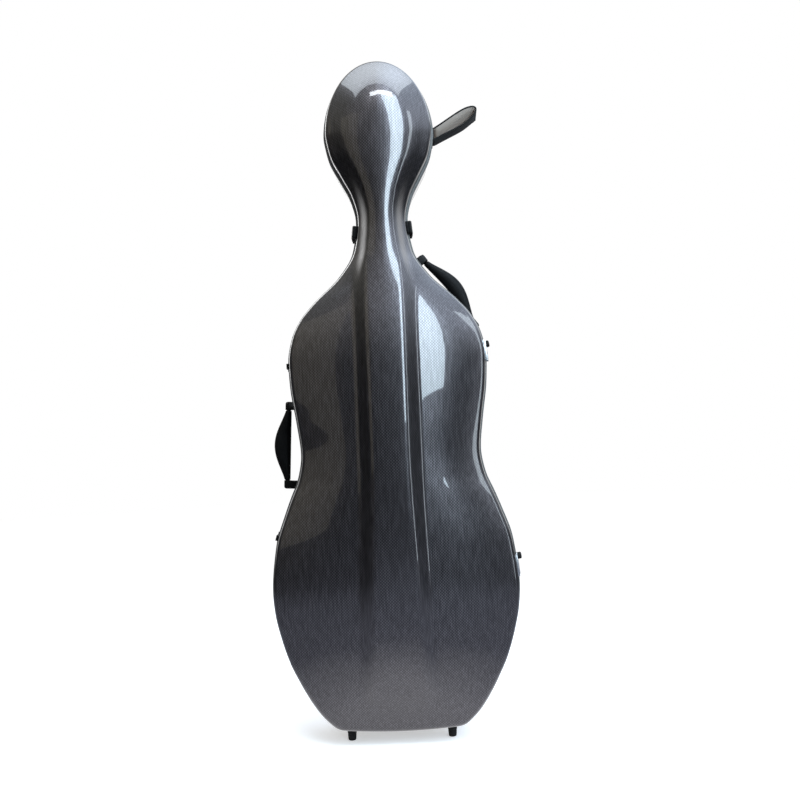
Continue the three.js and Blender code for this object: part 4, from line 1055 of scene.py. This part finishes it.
def add_flap(tree):
    """The pouch's flap: a hemmed cloth laid over its front from the top edge, with a pull tab."""
    lo, hi, centre = box("accessory_pouch")
    middle, half, top = centre[0], (hi[0] - lo[0]) / 2 - FLAP_MARGIN, hi[2] - FLAP_MARGIN
    across, down = np.meshgrid(np.linspace(-1, 1, FLAP_COLUMNS), np.linspace(0, 1, FLAP_ROWS))
    corner = 0.009 * (np.maximum(0.0, np.abs(across) - 0.82) / 0.18) ** 2
    x, z = middle + across * half, top - down * (FLAP_DROP - corner)
    cloth = laid_on(np.stack([x, np.full(x.shape, lo[1]), z], axis=-1).reshape(-1, 3), tree, BASE_WAY, 0.0)
    curl = (1.6 * down**4 + 0.5 * np.sin(9 * across + 1.2) * down**2).reshape(-1, 1)
    front, back = (cloth - (0, MM, 0) * (curl + off) for off in (1.9, 0.5))
    grid = np.arange(len(front)).reshape(FLAP_ROWS, FLAP_COLUMNS)
    corners = (grid[:-1, :-1], grid[:-1, 1:], grid[1:, 1:], grid[1:, :-1])
    faces = []
    for quad in np.stack(corners, axis=-1).reshape(-1, 4).tolist():
        faces += [tuple(quad), tuple(len(front) + i for i in quad[::-1])]
    edge = np.concatenate([grid[0], grid[1:, -1], grid[-1, -2::-1], grid[-2:0:-1, 0]]).tolist()
    faces += [(a, b, len(front) + b, len(front) + a) for a, b in zip(edge, edge[1:] + edge[:1])]
    flap = sharpened(mesh_piece("pouch_flap", np.concatenate([front, back]), faces, "pouch", "case"), 60)
    line = front[edge]
    inner = line + (line.mean(axis=0) - line) * [0.05, 0, 0.11] + [0, -0.0003, 0]
    inner = laid_on(inner, search_tree(flap.data), BASE_WAY, THREAD_OFF)
    hem = stitches("pouch_flap_hem", inner, "case", 2.6, 1.3, 0.3)
    tab = []
    for t in np.linspace(0, 1, 12):
        y = line[:, 1].min() - (0.9 + 1.2 * math.sin(math.pi * t)) * MM
        tab.append((middle, y, top - FLAP_DROP + 0.012 - 0.026 * t))
    sharpened(swept("pouch_pull_tab", np.array(tab), TAB, "webbing", "case"), 60)


def add_pocket(hand):
    """A cloth pocket for a bow's frog: soft corners, a full front and a bound mouth."""
    node = f"bow_pocket_{hand}"
    piece = foam_start(node, "pouch", 1.6, 0.15)
    lo, hi, middle = box(node)
    half = (hi - lo) / 2
    points = coordinates(piece.data)
    along = (points[:, 2] - lo[2]) / (hi[2] - lo[2])
    across = np.clip((points[:, 0] - middle[0]) / half[0], -1, 1)
    front = np.clip((points[:, 1] - middle[1]) / half[1], 0, 1)
    full = np.cos(across * math.pi / 2) * np.clip(np.sin(math.pi * np.clip(along, 0, 1) ** 0.8), 0, 1)
    slack = 0.35 * np.sin(along * 31 + across * 2.2) * np.cos(across * math.pi / 2)
    points[:, 1] += front * (3.2 * full + slack) * MM
    put_coordinates(piece.data, points)
    piece.data.shade_smooth()
    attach(piece, BODY_OF[node])
    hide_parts(node)
    tree = search_tree(piece.data)

    def mouth_line(drop):
        xs = middle[0] + np.linspace(-1, 1, POCKET_STEPS) * (half[0] - 0.001)
        level = np.full(POCKET_STEPS, hi[2] - drop * MM)
        rows = laid_on(np.c_[xs, np.full(POCKET_STEPS, hi[1]), level], tree, LID_WAY, 0.1)
        rows[:, 1] = np.maximum(rows[:, 1], hi[1] - 0.004)
        return rows

    swept(f"{node}_binding", mouth_line(0.8), CORD, "webbing", "lid")
    stitches(f"{node}_stitch", mouth_line(7.0), "lid", closed=False)


def add_neck_strap():
    """The strap over the neck: webbing with a sewn box at each end."""
    refined("neck_strap", "webbing", 0.6, 50.0)
    lo, hi, middle = box("neck_strap")
    tree = search_tree(solid_mesh("neck_strap"))
    wide, high = 0.0035, 0.012
    sewn = [(-wide, -high), (wide, -high), (wide, high), (-wide, high), (-wide, -high)]
    for side, hand in ((-1, "left"), (1, "right")):
        centre = middle[0] + side * ((hi[0] - lo[0]) / 2 - 0.0055)
        line = spread(np.array([(centre + a, lo[1], middle[2] + b) for a, b in sewn]), 60)[:-1]
        stitches(f"neck_strap_seam_{hand}", laid_on(line, tree, BASE_WAY, 0.1), "case", 2.0, 1.0, 0.3)


def add_bore_ring():
    """The rubber ring around the end pin's hole."""
    centre = (box("endpin_block")[2][0], float(SHIFT[1]) + BORE_DEPTH, FOOT_LEVEL * MM + BORE_HEIGHT)
    rows = [(14.2, -8), (14.2, 0.6), (14.9, 1.3), (18.2, 1.3), (19.2, 0.9), (19.6, 0.1), (19.6, -0.6)]
    rings = turned(rows + [(15.0, -8)])
    piece = ring_piece("endpin_ring", rings, "rubber", "case", upright(centre), True)
    return piece


add_foam()
for each in ("left", "right"):
    add_pocket(each)
add_neck_strap()
add_bore_ring()


# Floor, light and camera

SKY = [
    (0.0, (0.012, 0.012, 0.011)),
    (0.09, (0.018, 0.018, 0.016)),
    (0.26, (0.19, 0.2, 0.21)),
    (0.5, (0.62, 0.66, 0.74)),
    (1.0, (0.62, 0.7, 0.8)),
]
ACROSS = [
    (0.0, (0.17, 0.155, 0.11)),
    (0.48, (0.32, 0.295, 0.275)),
    (0.68, (0.85, 0.92, 1.0)),
    (1.0, (0.9, 0.95, 1.0)),
]
SKY_STRENGTH, MIRRORED_WHITE = 2.3, 0.55
FLOOR_RADIUS, FLOOR_SIDES, FLOOR_LEVEL, FLOOR_GLOW = 7.0, 96, -0.0005, 0.45
FRAME_WIDTH, FRAME_CENTRE, FRAME_ASIDE, SENSOR = 1.6, 0.682, 0.022, 36.0
CAMERA_DISTANCE, CAMERA_HEIGHT, CAMERA_ROLL = 1.7, 0.602, math.radians(-2.3)


def add_stage():
    """A plain floor, white from afar, with the case's shadow. Shiny faces see it dark beyond the feet, a
    painted dark purple-grey nearer, and a painted glow round the feet.
    """
    turns = circle(FLOOR_SIDES)
    points = [(FLOOR_RADIUS * math.cos(turn), FLOOR_RADIUS * math.sin(turn), FLOOR_LEVEL) for turn in turns]
    mesh = bpy.data.meshes.new("floor")
    mesh.from_pydata(points, [], [tuple(range(FLOOR_SIDES))])
    look = Look("pale_floor", Roughness=0.9, Specular_IOR_Level=0.1, Emission_Color=(1, 1, 1, 1))
    reach = look.node("ShaderNodeVectorMath", {"operation": "LENGTH"}, i0=look.place).outputs["Value"]
    far = look.between(reach, 0.9, 2.6)
    path = look.node("ShaderNodeLightPath").outputs
    mirrored = look.calc("MAXIMUM", path["Is Glossy Ray"], path["Is Transmission Ray"])
    # Shiny faces alone see a painted pool of light on the floor round the feet, fading out by about half a
    # metre.
    mirrored_glow = look.ramp(look.calc("DIVIDE", reach, 2.5), [(0.08, 0.8), (0.2, 0.1), (0.9, 0.0)])
    white = look.calc("MULTIPLY_ADD", far, 1 - FLOOR_GLOW, FLOOR_GLOW)
    seen = look.calc("MULTIPLY", path["Is Camera Ray"], white)
    # Shiny faces see the floor a painted dark purple-grey, not pale as the camera sees it: a painted dark
    # reflection.
    pale = look.mix(mirrored, (0.82, 0.82, 0.82), (0.13, 0.125, 0.15))
    look.feed(
        Emission_Strength=look.calc("MULTIPLY_ADD", mirrored, mirrored_glow, seen),
        Base_Color=look.mix(far, pale, (0.0, 0.0, 0.0)),
    )
    mesh.materials.append(look.material)
    linked("floor", mesh)


def add_world():
    """Soft light that grows with height and to the right, before a white background."""
    world = bpy.data.worlds.new("studio")
    bpy.context.scene.world = world
    world.use_nodes = True
    nodes = Nodes(world.node_tree)
    place = nodes.node("ShaderNodeTexCoord").outputs["Generated"]
    axes = nodes.node("ShaderNodeSeparateXYZ", Vector=place).outputs
    across = nodes.ramp(nodes.calc("MULTIPLY_ADD", axes["X"], 0.5, 0.5), ACROSS)
    sky = nodes.mix(1.0, nodes.ramp(axes["Z"], SKY), across, "MULTIPLY")
    path = nodes.node("ShaderNodeLightPath").outputs
    behind = nodes.calc("MULTIPLY", path["Is Glossy Ray"], nodes.between(axes["Y"], 0.45, 0.9))
    white = nodes.calc("MAXIMUM", path["Is Camera Ray"], path["Is Transmission Ray"])
    white = nodes.calc("MAXIMUM", white, nodes.calc("MULTIPLY", behind, MIRRORED_WHITE))
    background = nodes.tree.nodes["Background"].inputs
    nodes.put(nodes.mix(white, sky, (1, 1, 1)), background["Color"])
    nodes.put(nodes.calc("MULTIPLY_ADD", white, 1 - SKY_STRENGTH, SKY_STRENGTH), background["Strength"])


def add_softbox(name, place, target, width, height, power, colour=(1, 1, 1)):
    lamp = bpy.data.lights.new(name, "AREA")
    lamp.shape = "RECTANGLE"
    lamp.size, lamp.size_y = width, height
    lamp.energy = power
    lamp.color = colour
    softbox = linked(name, lamp)
    softbox.location = place
    softbox.rotation_euler = (Vector(target) - Vector(place)).to_track_quat("-Z", "Y").to_euler()


def add_camera():
    """Level with the waist and close, as the photograph was taken, its frame raised over the case."""
    camera = bpy.data.cameras.new("camera")
    camera.sensor_width = SENSOR
    camera.lens = SENSOR * CAMERA_DISTANCE / FRAME_WIDTH
    camera.shift_y = (FRAME_CENTRE - CAMERA_HEIGHT) / FRAME_WIDTH
    eye = linked("camera", camera)
    rolled = Matrix.Rotation(math.pi / 2, 4, "X") @ Matrix.Rotation(CAMERA_ROLL, 4, "Z")
    up = rolled.to_3x3() @ Vector((0, 1, 0))
    middle = Vector((float(SHIFT[0]) + FRAME_ASIDE, float(SHIFT[1]) - CAMERA_DISTANCE, FRAME_CENTRE))
    eye.location = middle - up * camera.shift_y * FRAME_WIDTH
    eye.rotation_euler = rolled.to_euler()
    bpy.context.scene.camera = eye


add_stage()
add_world()
add_softbox("key", (1.32, -2.5, 2.1), (0, 0, 0.8), 1.15, 2.9, 92, (0.72, 0.89, 1.0))
add_softbox("side", (2.5, -0.9, 1.3), (0, 0, 0.9), 0.35, 3.0, 14, (0.8, 0.92, 1.0))
add_softbox("fill", (-2.4, -1.6, 1.6), (0, 0, 0.7), 2.4, 2.4, 4.5, (1.0, 0.92, 0.74))
add_softbox("top", (0.0, -0.4, 3.4), (0, 0, 0.6), 3.4, 1.6, 56, (0.84, 0.93, 1.0))
add_softbox("crown", (0.25, -1.9, 3.3), (0, 0, 1.2), 1.9, 0.3, 24, (0.9, 0.96, 1.0))
add_softbox("back", (-1.2, 2.6, 1.8), (0, 0, 0.7), 1.4, 1.8, 14)
add_camera()

scene = bpy.context.scene
scene.view_settings.view_transform = "Standard"
